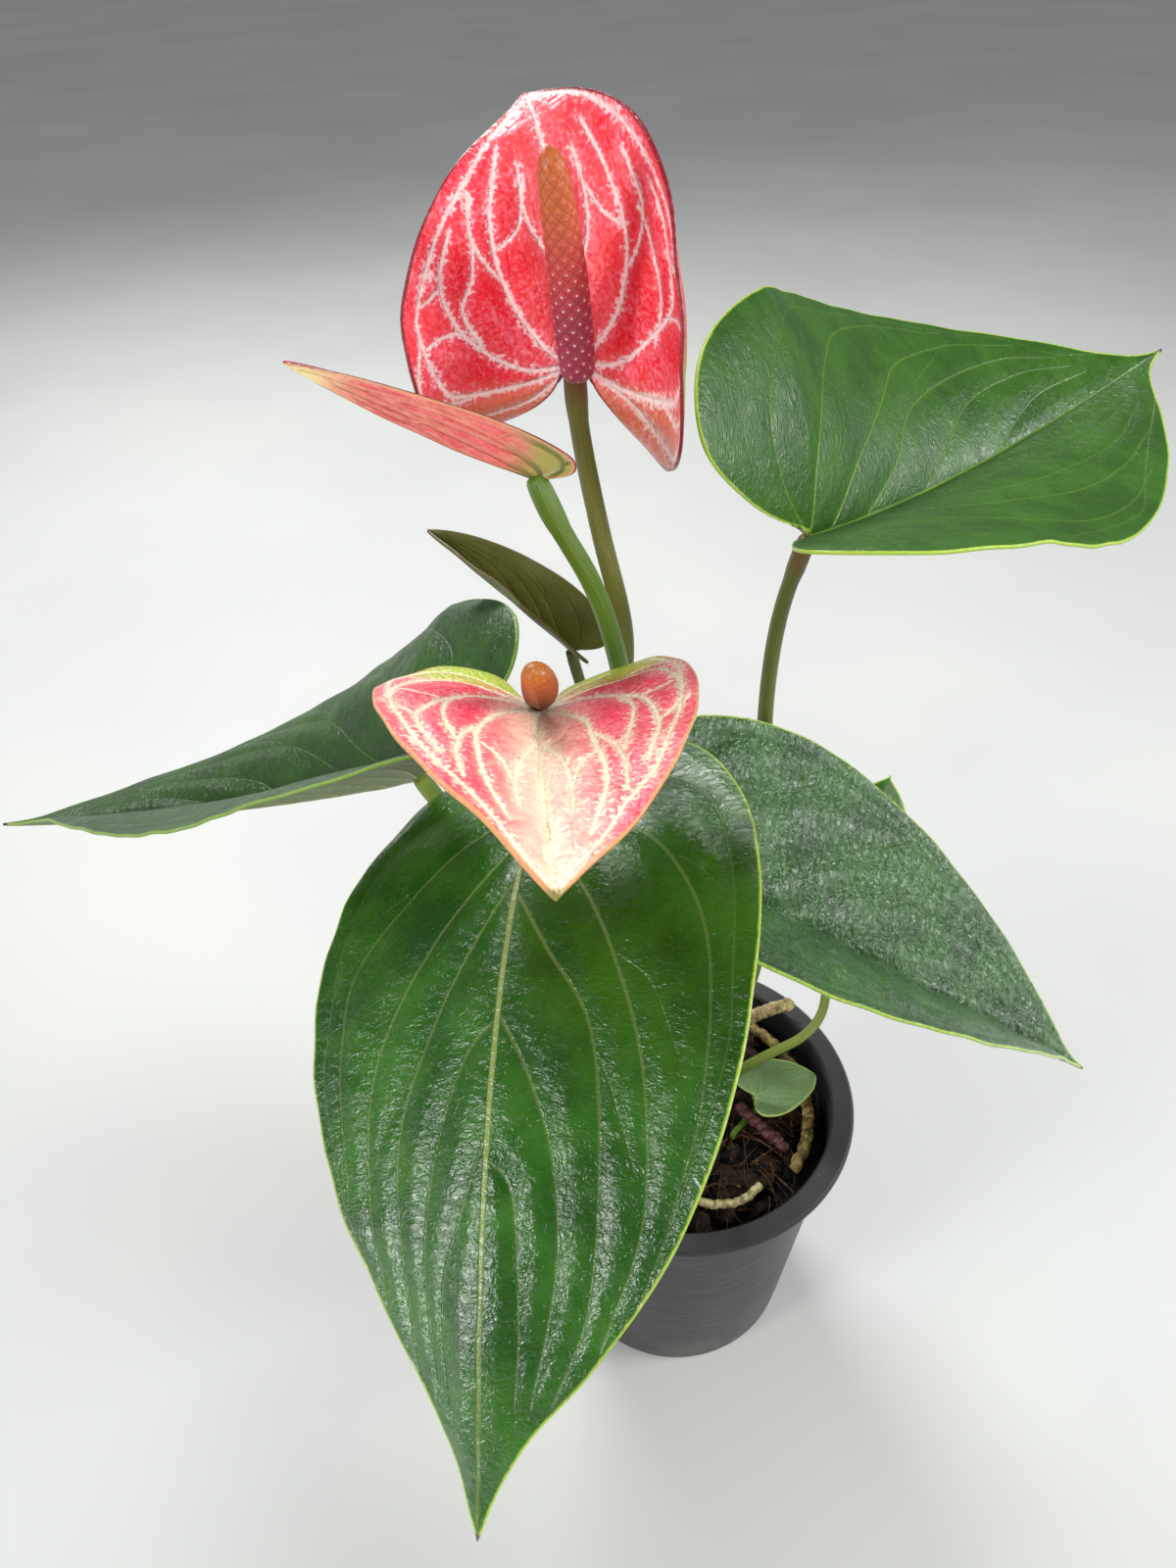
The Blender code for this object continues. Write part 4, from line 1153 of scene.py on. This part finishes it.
OLIVE, GRASS = tint(84, 86, 20), tint(74, 104, 8)
LIGHT_GREEN, BRONZE = tint(116, 138, 40), tint(104, 76, 34)
STEM_COLOURS = {
    "petiole_front": (GRASS, LIGHT_GREEN, LIGHT_GREEN),
    "petiole_right": (GRASS, LIGHT_GREEN, LIGHT_GREEN),
    "petiole_upper_right": (tint(92, 110, 8), tint(80, 90, 14), BRONZE),
    "petiole_left": (GRASS, tint(136, 150, 70), LIGHT_GREEN),
    "petiole_young": (GRASS, tint(84, 96, 40), OLIVE),
    "petiole_back": (tint(110, 130, 44), tint(130, 150, 60), LIGHT_GREEN),
    "peduncle_top": (OLIVE, tint(92, 92, 22), tint(98, 56, 26)),
    "peduncle_left": (tint(80, 104, 10), tint(74, 106, 12), tint(80, 110, 18)),
    "peduncle_front": (GRASS, LIGHT_GREEN, BRONZE),
}


# %% [markdown]
# The line of each stem starts straight up from the crown and ends square to the underside
# of its blade, a hair's breadth short of it, so nothing floats and nothing cuts through.


# %% Stems
def stem_line(name):
    stem = STEMS[name]
    blade = BLADES[stem["blade"]]
    radius = stem["radius"]
    angle = math.radians(stem["foot"])
    foot = np.array((STEM_RING_RADIUS * math.cos(angle), STEM_RING_RADIUS * math.sin(angle), CROWN_TOP + GAP))
    upward = blade_turn(blade) @ np.array((0.0, 0.0, 1.0))
    sag = math.radians(max(0.0, -min(blade["fold"])))
    top_radius = STEM_TOP_SHARE * radius
    end = above_soil(blade["base"]) - upward * (SHEET_THICKNESS / 2 + 0.4 * top_radius * math.tan(sag))
    route = [foot + (0, 0, radius)] + [above_soil(point) for point in stem["route"]]
    line = np.vstack([[foot - (0, 0, 0.002)], smooth_curve(route + [end], 90)])
    for _ in range(6):
        line[2:-2] = (line[1:-3] + 2 * line[2:-2] + line[3:-1]) / 4
    return line


def stem_ribs(turn, distance):
    return 0.00006 * math.cos(math.tau * turn * 9 + 3 * math.sin(distance * 40))


for name, stem in STEMS.items():
    line = stem_line(name)
    share = np.linspace(0.0, 1.0, len(line))
    length = np.linalg.norm(np.diff(line, axis=0), axis=1).sum()
    joint_length = min(0.011, 0.2 * length) / length
    swollen = 0.16 * np.exp(-((share - 1 + 0.5 * joint_length) / (0.5 * joint_length)) ** 4)
    sheath = 0.22 * np.exp(-share * length / 0.009)
    radii = stem["radius"] * (1 - (1 - STEM_TOP_SHARE) * share + swollen + sheath)
    bm = bmesh.new()
    roll_tube(bm, line, radii, 40, stem_ribs)
    finish = stem_finish(name + "_skin", *STEM_COLOURS[name], length, 1 - joint_length)
    publish(skin_object(name + "_stem", bm, finish), name)

# %% [markdown]
# The smallest leaf's stalk comes straight out of the mix beside the crown.

# %% Small stalk
seedling = BLADES["leaf_small"]
seedling_radius = SMALL_PETIOLE_SHARE * THIN_PETIOLE_RADIUS
seedling_up = blade_turn(seedling) @ np.array((0.0, 0.0, 1.0))
seedling_end = above_soil(seedling["base"]) - seedling_up * SHEET_THICKNESS / 2
seedling_foot = np.array((*on_mix(*SMALL_PETIOLE_FOOT), SOIL_LEVEL + GAP))
seedling_neck = seedling_end - seedling_up * SMALL_PETIOLE_NECK
seedling_route = (seedling_foot, seedling_foot + (0, 0, 2 * seedling_radius), seedling_neck, seedling_end)
seedling_line = smooth_curve(seedling_route, 30)
bm = bmesh.new()
roll_tube(bm, seedling_line, np.full(30, seedling_radius), 20)
small_skin = stem_finish("petiole_small_skin", GRASS, LIGHT_GREEN, LIGHT_GREEN, 0.03)
publish(skin_object("petiole_small_stem", bm, small_skin), "petiole_small")

# %% [markdown]
# ## Spadices
# A spadix is a finger packed with tiny flowers in a slanted lattice. Each flower is a low
# four-sided knob, so the skin is pushed out by a lattice wave, and the finish reads the same
# lattice to put a pale stigma on every knob. It ripens from the foot up, so colours run
# along it: magenta with white points below, orange-brown above.


# %% Spadix
def lattice(turn, distance, around, pitch):
    """0 at a flower's middle, 1 at its corners, on a staggered lattice."""
    column = turn * around
    row = distance / pitch
    a = (column + row) / 2
    b = (column - row) / 2
    return max(abs(a - round(a)), abs(b - round(b))) * 2


def spadix_finish(name, low, middle, high, dot_colour, dot_top, around, pitch, length, dots=0.8, tip=None):
    finish = Finish(name, 0.42, 0.1, 0.5, 0.08)
    round_map = finish.place("round")
    column = finish.times(finish.part(round_map, "X"), around)
    row = finish.math("DIVIDE", finish.part(round_map, "Y"), pitch * 10)
    a = finish.math("PINGPONG", finish.times(finish.plus(column, row), 0.5), 0.5)
    b = finish.math("PINGPONG", finish.times(finish.minus(column, row), 0.5), 0.5)
    off = finish.math("SQRT", finish.plus(finish.times(a, a), finish.times(b, b)))
    off = finish.ragged(off, finish.grain(round_map, 90.0, 2.0), 0.05, 0.0)
    along = finish.math("DIVIDE", finish.part(round_map, "Y"), length * 10)
    here = finish.place()
    along = finish.ragged(along, finish.grain(here, 400.0, 3.0), 0.12)
    colour = finish.mix(finish.ramp(along, 0.25, 0.55), low, middle)
    colour = finish.mix(finish.ramp(along, 0.5, 0.85), colour, high)
    if tip is not None:
        colour = finish.mix(finish.ramp(along, 0.86, 1.0), colour, tip)
    grains = finish.grain(here, 1400.0, 3.0)
    colour = finish.mix(finish.ramp(grains, 0.4, 0.7, 0.0, 0.3), colour, middle)
    seams = finish.ramp(finish.math("MAXIMUM", a, b), 0.40, 0.5)
    colour = finish.mix(seams, colour, tint(92, 30, 30), 0.55)
    ring = finish.ramp(off, 0.10, 0.21, 1.0, 0.0)
    pit = finish.ramp(off, 0.02, 0.09, 1.0, 0.0)
    fade = finish.ramp(along, dot_top, dot_top + 0.25, dots, dots * 0.16)
    colour = finish.mix(ring, colour, dot_colour, fade)
    colour = finish.mix(pit, colour, low, finish.times(fade, 0.5))
    rough = finish.ramp(grains, 0.3, 0.7, 0.34, 0.52)
    normal = finish.bump(ring, 0.00018)
    normal = finish.bump(grains, 0.0002, normal)
    return finish.done(colour, rough, normal)


# %% [markdown]
# The finger itself swells quickly from its foot, then tapers to a blunt tip.

# %% Spadices
SPADIX_PROFILE = (      # (share of the length, share of the full radius)
    (0.0, 0.80), (0.04, 0.94), (0.35, 1.0), (0.7, 0.88), (0.9, 0.72), (0.97, 0.5), (1.0, 0.12),
)
SPADIX_SINK = 0.0012    # metres that the foot is sunk along the finger
SPADIX_GROWTH = 0.0010  # metres added to the length for it


def make_spadix(name, finish, around, pitch, knob):
    spadix = SPADICES[name]
    blade = BLADES[spadix["spathe"]]
    upward = blade_turn(blade) @ np.array((0.0, 0.0, 1.0))
    axis = np.array(spadix["direction"]) / np.linalg.norm(spadix["direction"])
    foot = above_soil(blade["base"]) + upward * (SHEET_THICKNESS / 2 + GAP)
    start = foot + upward * spadix["stand_off"] - axis * SPADIX_SINK
    length = spadix["length"] + SPADIX_GROWTH
    steps = np.linspace(0.0, 1.0, 150)
    sizes = smooth_curve(SPADIX_PROFILE, 300)
    radii = spadix["radius"] * np.interp(steps, sizes[:, 0], sizes[:, 1])
    sway = np.sin(steps * math.pi * 0.9)[:, None] * np.array((0.0006, 0.0, 0.0))
    centres = start + axis * (steps * length)[:, None] + sway

    def knobs(turn, distance):
        return knob * (0.5 - lattice(turn, distance, around, pitch) ** 2)

    bm = bmesh.new()
    roll_tube(bm, centres, radii, 120, knobs)
    return publish(skin_object(name + "_finger", bm, finish), name)


ripe_finger = spadix_finish(
    "ripe_spadix", tint(150, 52, 78), tint(186, 62, 60), tint(188, 96, 44),
    tint(240, 210, 206), 0.42, 16, 0.00155, 0.047,
)
young_finger = spadix_finish(
    "young_spadix", tint(120, 58, 22), tint(158, 78, 26), tint(176, 104, 30),
    tint(190, 130, 60), 0.2, 14, 0.0013, 0.036, 0.25, tint(204, 190, 70),
)
hidden_finger = spadix_finish(
    "hidden_spadix", tint(170, 110, 60), tint(190, 130, 60), tint(200, 160, 70),
    tint(220, 190, 120), 0.4, 10, 0.0010, 0.026, 0.4,
)
make_spadix("spadix_top", ripe_finger, 16, 0.00155, 0.00022)
make_spadix("spadix_front", young_finger, 14, 0.0013, 0.00014)
make_spadix("spadix_left", hidden_finger, 10, 0.0010, 0.00008)

# %% [markdown]
# ## The pot
# A nursery pot is thin black polypropylene, blown or injection moulded: a straight taper, a
# collar under a rolled lip, a stepped foot and drain holes. It is one closed profile turned
# round the upright axis, as the moulder's tool is. Its finish is a satin black with a faint
# moulded grain, fine scuffs round the body and a little dust low down.

# %% Pot profile
POT_BASE_RADIUS = 0.040
POT_WALL = 0.0015
POT_FLOOR = 0.0025
RIM_BAND_HEIGHT = 0.0076
RIM_BAND_STEP = 0.0025
LIP_WIDTH = 0.006
LIP_THICKNESS = 0.0022
DRAIN_HOLES, DRAIN_RING_RADIUS, DRAIN_HOLE_RADIUS = 6, 0.024, 0.004
BAND_FOOT = RIM_HEIGHT - RIM_BAND_HEIGHT
COLLAR = RIM_RADIUS - LIP_WIDTH / 2


def wall_radius(height):
    """Outer radius of the tapered wall under the collar."""
    top_radius = COLLAR - RIM_BAND_STEP
    return POT_BASE_RADIUS + (top_radius - POT_BASE_RADIUS) * min(height, BAND_FOOT) / BAND_FOOT


inside_top = wall_radius(BAND_FOOT) - POT_WALL
pot_profile = [
    (0.0, 0.0008), (0.030, 0.0008), (0.0312, 0.0), (wall_radius(0) - 0.0012, 0.0),
    (wall_radius(0) - 0.0003, 0.0003), (wall_radius(0), 0.0012), (wall_radius(0.008), 0.008),
    (wall_radius(0.03), 0.03), (wall_radius(0.06), 0.06), (wall_radius(0.085), 0.085),
    (wall_radius(BAND_FOOT), BAND_FOOT - 0.0020), (wall_radius(BAND_FOOT) + 0.0006, BAND_FOOT - 0.0009),
    (COLLAR - 0.0006, BAND_FOOT), (COLLAR, BAND_FOOT + 0.0007),
    (COLLAR, RIM_HEIGHT - LIP_THICKNESS - 0.0006), (COLLAR + 0.0006, RIM_HEIGHT - LIP_THICKNESS),
    (RIM_RADIUS - 0.0006, RIM_HEIGHT - LIP_THICKNESS), (RIM_RADIUS, RIM_HEIGHT - LIP_THICKNESS + 0.0006),
    (RIM_RADIUS, RIM_HEIGHT - 0.0009), (RIM_RADIUS - 0.0009, RIM_HEIGHT),
    (inside_top + 0.0008, RIM_HEIGHT), (inside_top + 0.0001, RIM_HEIGHT - 0.0007),
    (inside_top, RIM_HEIGHT - 0.0016), (inside_top, BAND_FOOT),
    (wall_radius(POT_FLOOR) - POT_WALL + 0.0003, POT_FLOOR + 0.0010),
    (wall_radius(POT_FLOOR) - POT_WALL - 0.0010, POT_FLOOR), (0.0, POT_FLOOR),
]


# %% [markdown]
# The finish of the pot is a few greys laid over each other: clouds, dust, specks and scuffs.


# %% Pot finish
def pot_finish():
    finish = Finish("black_polypropylene", 0.42, 0.0, 0.5)
    here = finish.place()
    cloud = finish.grain(here, 18.0, 4.0)
    colour = finish.mix(finish.ramp(cloud, 0.35, 0.7), tint(38, 38, 40), tint(52, 52, 53))
    height = finish.part(here, "Z")
    dust = finish.ramp(height, 0.0, 0.035, 0.35, 0.0)
    dust = finish.times(dust, finish.ramp(finish.grain(here, 90.0, 5.0, 0.7), 0.4, 0.7))
    colour = finish.mix(dust, colour, tint(118, 112, 104))
    specks = finish.ramp(finish.cells(here, 260.0), 0.0, 0.10, 1.0, 0.0)
    colour = finish.mix(specks, colour, tint(128, 122, 112), 0.35)
    scuffs = finish.grain(finish.stretch(here, 6.0, 6.0, 90.0), 9.0, 4.0, 0.7)
    colour = finish.mix(finish.ramp(scuffs, 0.58, 0.78, 0.0, 0.22), colour, tint(92, 92, 92))
    rough = finish.ramp(scuffs, 0.3, 0.7, 0.36, 0.50)
    normal = finish.bump(finish.grain(here, 1600.0, 2.0), 0.00006)
    normal = finish.bump(scuffs, 0.00008, normal)
    return finish.done(colour, rough, normal)


# %% Pot
pot = skin_object("nursery_pot", turn_profile(pot_profile, 160), pot_finish())
pot.data.set_sharp_from_angle(angle=math.radians(45))
publish(pot, "pot")

# %% [markdown]
# Six drills cut the drain holes. They are removed once the cut mesh has been kept.

# %% Drain holes
drills = []
for index in range(DRAIN_HOLES):
    angle = math.tau * index / DRAIN_HOLES
    place = Vector((math.cos(angle) * DRAIN_RING_RADIUS, math.sin(angle) * DRAIN_RING_RADIUS, POT_FLOOR / 2))
    bm = bmesh.new()
    bmesh.ops.create_cone(
        bm, cap_ends=True, segments=32, radius1=DRAIN_HOLE_RADIUS, radius2=DRAIN_HOLE_RADIUS,
        depth=4 * POT_FLOOR, matrix=Matrix.Translation(place),
    )
    drill_mesh = bpy.data.meshes.new(f"drain_drill_{index}")
    bm.to_mesh(drill_mesh)
    bm.free()
    drill = bpy.data.objects.new(f"drain_drill_{index}", drill_mesh)
    bpy.context.scene.collection.objects.link(drill)
    drills.append(drill)
    cut = pot.modifiers.new(f"drain_{index}", "BOOLEAN")
    cut.object = drill
    cut.operation = "DIFFERENCE"
drilled = bpy.data.meshes.new_from_object(pot.evaluated_get(bpy.context.evaluated_depsgraph_get()))
pot.modifiers.clear()
pot.data = drilled
for drill in drills:
    bpy.data.objects.remove(drill)
print("pot:", len(pot.data.polygons), "faces, with", DRAIN_HOLES, "drain holes")

# %% [markdown]
# ## Potting mix
# Orchid-style mix is dark peat with bark, and it settles a finger's breadth below the rim.
# The body is the same turned solid as before, but its top is a fine lumpy sheet. Chips of
# bark, crumbs and a tangle of dry brown root fibres lie on it. They are made once as simple
# shapes and repeated with seeded sizes and turns, each group as one mesh.


# %% Potting mix finishes
def crumb_finish(name, dark, light, scale, rough):
    finish = Finish(name, rough, 0.0, 0.25)
    here = finish.place()
    grains = finish.grain(here, scale, 5.0, 0.7)
    colour = finish.mix(finish.ramp(grains, 0.42, 0.72), dark, light)
    broad = finish.grain(here, scale / 6, 2.0)
    colour = finish.mix(finish.ramp(broad, 0.45, 0.7, 0.0, 0.6), colour, dark)
    normal = finish.bump(grains, 0.0012)
    return finish.done(colour, None, normal)


peat = crumb_finish("peat", tint(4, 3, 3), tint(20, 14, 10), 300.0, 0.9)
bark = crumb_finish("bark", tint(24, 16, 11), tint(70, 46, 28), 500.0, 0.8)
fibre = crumb_finish("fibre", tint(62, 42, 24), tint(128, 92, 54), 600.0, 0.75)
husk = crumb_finish("husk", tint(112, 92, 60), tint(160, 140, 96), 500.0, 0.8)


# %% [markdown]
# The body is rings of vertices shrinking to the middle, lifted by noise, then carried down
# inside the pot as a closed solid.

# %% Potting mix body
def soil_height(x, y):
    """Height of the lumpy surface at a place on the mix."""
    here = Vector((x, y, 0.0))
    lumps = 0.0011 * noise.noise(here * 130) + 0.0007 * noise.noise(here * 420)
    slope = -0.0012 + 0.0007 * noise.noise(here * 30)
    return SOIL_LEVEL + slope + lumps


bm = bmesh.new()
bmesh.ops.create_circle(bm, cap_ends=False, segments=150, radius=MIX_RADIUS - 0.0004)
ring = list(bm.edges)
for radius in np.linspace(MIX_RADIUS - 0.0012, 0.001, 52):
    made = bmesh.ops.extrude_edge_only(bm, edges=ring)["geom"]
    for vert in [g for g in made if isinstance(g, bmesh.types.BMVert)]:
        flat_way = Vector((vert.co.x, vert.co.y, 0.0)).normalized()
        vert.co = flat_way * radius
    ring = [g for g in made if isinstance(g, bmesh.types.BMEdge)]
bmesh.ops.holes_fill(bm, edges=ring, sides=0)
for vert in bm.verts:
    vert.co.z = min(soil_height(vert.co.x, vert.co.y), MIX_HIGH.z)
rim_edges = [edge for edge in bm.edges if edge.is_boundary]
for depth, radius in ((0.03, wall_radius(SOIL_LEVEL - 0.03)), (SOIL_LEVEL - 0.004, wall_radius(0.004))):
    made = bmesh.ops.extrude_edge_only(bm, edges=rim_edges)["geom"]
    for vert in [g for g in made if isinstance(g, bmesh.types.BMVert)]:
        way = Vector((vert.co.x, vert.co.y, 0.0)).normalized() * (radius - POT_WALL - 0.0009)
        vert.co = way + Vector((0, 0, SOIL_LEVEL - depth))
    rim_edges = [g for g in made if isinstance(g, bmesh.types.BMEdge)]
bmesh.ops.holes_fill(bm, edges=rim_edges, sides=0)
publish(skin_object("peat_body", bm, peat), "potting_mix")

# %% [markdown]
# Loose pieces are icospheres, stretched, pushed out of shape by noise and dropped on the
# lumpy surface. They keep clear of the crown and of the pot's wall.

# %% Bark chips and crumbs
CLEAR_OF_CROWN = 0.017  # metres from the middle
CLEAR_OF_WALL = 0.004
LUMP_RISE = 0.3         # the share of a lump's half height that it is lifted by
scatter = np.random.default_rng(7)


def scatter_lumps(name, count, sizes, flatness, finish):
    """Seeded rough lumps lying on the mix outside the crown, as one mesh."""
    bm = bmesh.new()
    for _ in range(count):
        radius = scatter.uniform(CLEAR_OF_CROWN, MIX_RADIUS - CLEAR_OF_WALL)
        angle = scatter.uniform(0, math.tau)
        size = scatter.uniform(*sizes)
        made = bmesh.ops.create_icosphere(bm, subdivisions=2 if size > 0.0016 else 1, radius=1.0)["verts"]
        stretch = (size * scatter.uniform(0.9, 1.9), size, size * flatness * scatter.uniform(0.7, 1.4))
        for vert in made:
            push = 1 + 0.45 * noise.noise(vert.co * 1.7 + Vector((angle * 50, radius * 900, 0)))
            vert.co = Vector((vert.co.x * stretch[0], vert.co.y * stretch[1], vert.co.z * stretch[2])) * push
        spin = Matrix.Rotation(scatter.uniform(0, math.tau), 3, "Z")
        tilt = Matrix.Rotation(scatter.normal(0, 0.35), 3, "X")
        bmesh.ops.rotate(bm, verts=made, cent=(0, 0, 0), matrix=spin @ tilt)
        x, y = radius * math.cos(angle), radius * math.sin(angle)
        bmesh.ops.translate(bm, verts=made, vec=(x, y, soil_height(x, y) + LUMP_RISE * stretch[2]))
    publish(skin_object(name, bm, finish), None)


scatter_lumps("bark_chips", 110, (0.0018, 0.0042), 0.42, bark)
scatter_lumps("peat_crumbs", 420, (0.0006, 0.0016), 0.7, peat)
scatter_lumps("husk_bits", 60, (0.0005, 0.0014), 0.35, husk)

# %% [markdown]
# The finest roots are thin tubes that wander over the surface with a small hump.

# %% Root fibres
FIBRES = 190
FIBRE_STEPS = 9
bm = bmesh.new()
for _ in range(FIBRES):
    radius = scatter.uniform(0.015, MIX_RADIUS - 0.006)
    angle = scatter.uniform(0, math.tau)
    heading = scatter.uniform(0, math.tau)
    length = scatter.uniform(0.008, 0.026)
    bend = scatter.normal(0, 0.9)
    thick = scatter.uniform(0.00014, 0.00036)
    steps = np.linspace(0.0, 1.0, FIBRE_STEPS)
    turns = heading + bend * steps
    x = radius * math.cos(angle) + np.cumsum(np.cos(turns)) * length / FIBRE_STEPS
    y = radius * math.sin(angle) + np.cumsum(np.sin(turns)) * length / FIBRE_STEPS
    pull = np.minimum(1.0, (MIX_RADIUS - 0.002) / np.maximum(np.hypot(x, y), 1e-6))
    x, y = x * pull, y * pull
    hump = scatter.uniform(0.0, 0.0035) * np.sin(steps * math.pi) + thick * 2
    places = [(a, b, soil_height(a, b) + 0.0003 + h) for a, b, h in zip(x, y, hump)]
    roll_tube(bm, places, thick * (1 - 0.6 * steps), 5)
publish(skin_object("root_fibres", bm, fibre), None)

# %% [markdown]
# ## Crown and roots
# Where the stems meet, an old plant carries papery brown sheaths round a short lumpy trunk.
# Aerial roots are thick, corky and tan, and an old stalk dries to straw. A waxy purple root
# lies beside them. All are tubes whose skins are roughened by noise.


# %% Crown
def crown_finish():
    finish = Finish("crown_sheaths", 0.6, 0.0, 0.4)
    here = finish.place()
    fibres = finish.grain(finish.stretch(here, 9.0, 9.0, 1.4), 120.0, 4.0, 0.65)
    colour = finish.mix(finish.ramp(fibres, 0.36, 0.68), tint(70, 74, 34), tint(128, 110, 66))
    brown = finish.ramp(finish.grain(here, 130.0, 3.0), 0.42, 0.62)
    colour = finish.mix(brown, colour, tint(84, 56, 32))
    normal = finish.bump(fibres, 0.0006)
    return finish.done(colour, None, normal)


crown_skin = crown_finish()
crown_low, crown_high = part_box("crown")
crown_radius = crown_high.x
crown_outline = (
    (0.0, crown_low.z), (0.6 * crown_radius, crown_low.z),
    (0.94 * crown_radius, SOIL_LEVEL - 0.006), (0.97 * crown_radius, SOIL_LEVEL),
    (0.93 * crown_radius, SOIL_LEVEL + 0.0025), (0.84 * crown_radius, CROWN_TOP - 0.0012),
    (0.6 * crown_radius, CROWN_TOP - 0.0003), (0.0, CROWN_TOP - 0.0008),
)
crown_outline = smooth_curve(crown_outline, 26)
crown_outline[0, 0] = crown_outline[-1, 0] = 0.0
bm = turn_profile(crown_outline, 96)
for vert in bm.verts:
    reach = math.hypot(vert.co.x, vert.co.y) / crown_radius
    angle = math.atan2(vert.co.y, vert.co.x)
    folds = 0.05 * math.sin(angle * 7 + 2.0 * math.sin(vert.co.z * 500)) + 0.06 * noise.noise(vert.co * 260)
    vert.co.x *= 1 + min(folds, 0.02) * reach
    vert.co.y *= 1 + min(folds, 0.02) * reach
publish(skin_object("crown_heart", bm, crown_skin), "crown")

# %% [markdown]
# Dry sheaths are thin curved strips that narrow upwards and lean out round the stalks.

# %% Papery sheaths
# degrees from +X, distance from the middle, height
SHEATHS = (
    (20, 0.0092, 0.019), (100, 0.0098, 0.024), (180, 0.0094, 0.021), (255, 0.0100, 0.026),
    (300, 0.0092, 0.017),
)
bm = bmesh.new()
for angle, stand, height in SHEATHS:
    made = bmesh.ops.create_grid(bm, x_segments=12, y_segments=18, size=1.0)["verts"]
    for vert in made:
        across, up_share = vert.co.x, (vert.co.y + 1) / 2
        width = (1 - up_share ** 1.6) * 0.9 + 0.04
        turn = math.radians(angle) + across * width * 0.55
        lean = 1 + 0.32 * up_share ** 2 + 0.06 * math.sin(5 * up_share + angle)
        out = stand * lean + 0.0006 * abs(across)
        vert.co = Vector((math.cos(turn) * out, math.sin(turn) * out, SOIL_LEVEL - 0.001 + up_share * height))
sheaths = skin_object("paper_sheaths", bm, crown_skin)
paper = sheaths.modifiers.new("thickness", "SOLIDIFY")
paper.thickness = 0.00025
paper.offset = 0.0
publish(sheaths, None)


# %% [markdown]
# Cork is grain in two tones, with darker bands across the root.


# %% Root finishes
def root_finish(name, dark, light, rough):
    finish = Finish(name, rough, 0.0, 0.4, 0.04)
    here = finish.place()
    cork = finish.grain(here, 420.0, 5.0, 0.7)
    colour = finish.mix(finish.ramp(cork, 0.36, 0.68), dark, light)
    bands = finish.grain(finish.stretch(finish.place("round"), 2.0, 9.0), 3.0, 3.0)
    colour = finish.mix(finish.ramp(bands, 0.48, 0.75, 0.0, 0.6), colour, dark)
    normal = finish.bump(cork, 0.0004)
    normal = finish.bump(bands, 0.0002, normal)
    return finish.done(colour, None, normal)


tan_root = root_finish("corky_root", tint(88, 72, 36), tint(168, 150, 88), 0.7)
pale_root = root_finish("pale_root", tint(120, 110, 70), tint(196, 188, 138), 0.65)
purple_root = root_finish("purple_root", tint(50, 26, 26), tint(98, 54, 50), 0.42)
straw = root_finish("straw_stalk", tint(128, 112, 70), tint(192, 178, 126), 0.75)


# %% [markdown]
# Every piece on the mix follows a short route of (share, degrees, rise), as the solid does.
# Its middle wanders a little and its thickness varies, the way corky roots grow.


# %% Roots and the old stalk
def lying(points, radius):
    """Places on the mix for the middle of a round piece of this radius."""
    return [(*on_mix(share, degrees), SOIL_LEVEL + GAP + radius + rise) for share, degrees, rise in points]


def make_root(name, piece, points, radius, finish, steps=60, gnarl=0.16):
    """A root whose middle wanders a little and whose thickness varies by gnarl."""
    line = smooth_curve(lying(points, radius), steps)

    def wave(i, y, z):
        return noise.noise(Vector((i, y, z)))

    def cork(turn, distance):
        return radius * 0.05 * wave(turn * 9, distance * 1500, 3.0)

    wander = [[wave(i * 0.31, k * 9.0, radius * 900) for k in range(3)] for i in range(steps)]
    sizes = [radius * (0.94 + gnarl * wave(i * 0.27, 5.0, radius * 500)) for i in range(steps)]
    bm = bmesh.new()
    roll_tube(bm, line + np.array(wander) * radius * 0.35, sizes, 28, cork)
    return publish(skin_object(piece, bm, finish), name)


rim_route = [(RIM_ROOT_RING, degrees, 0.0) for degrees in np.linspace(*RIM_ROOT_SPAN, 8)]
make_root("rim_root", "rim_air_root", rim_route, ROOT_RADIUS, tan_root, 110)
make_root("front_root", "front_air_root", FRONT_ROOT, THIN_ROOT_SHARE * ROOT_RADIUS, pale_root, 70)
make_root("red_root", "purple_air_root", RED_ROOT, ROOT_RADIUS, purple_root, 50, 0.1)
make_root("old_stalk", "dry_stalk", OLD_STALK, STALK_SHARE * ROOT_RADIUS, straw, 60, 0.1)

# %% [markdown]
# ## Floor
# The plant stands on a plain pale bench top, so large that its edge is far behind.

# %% Floor
floor_finish = Finish("pale_bench", 0.55, 0.0, 0.3)
soft_clouds = floor_finish.grain(floor_finish.place(), 3.0, 3.0)
soft_clouds = floor_finish.ramp(soft_clouds, 0.3, 0.7)
bench_colour = floor_finish.mix(soft_clouds, tint(182, 184, 182), tint(189, 191, 187))
bm = bmesh.new()
bmesh.ops.create_grid(bm, x_segments=8, y_segments=8, size=12.0)
floor_mesh = bpy.data.meshes.new("bench_top")
bm.to_mesh(floor_mesh)
bm.free()
floor_mesh.materials.append(floor_finish.done(bench_colour))
bench = bpy.data.objects.new("bench_top", floor_mesh)
bpy.context.scene.collection.objects.link(bench)
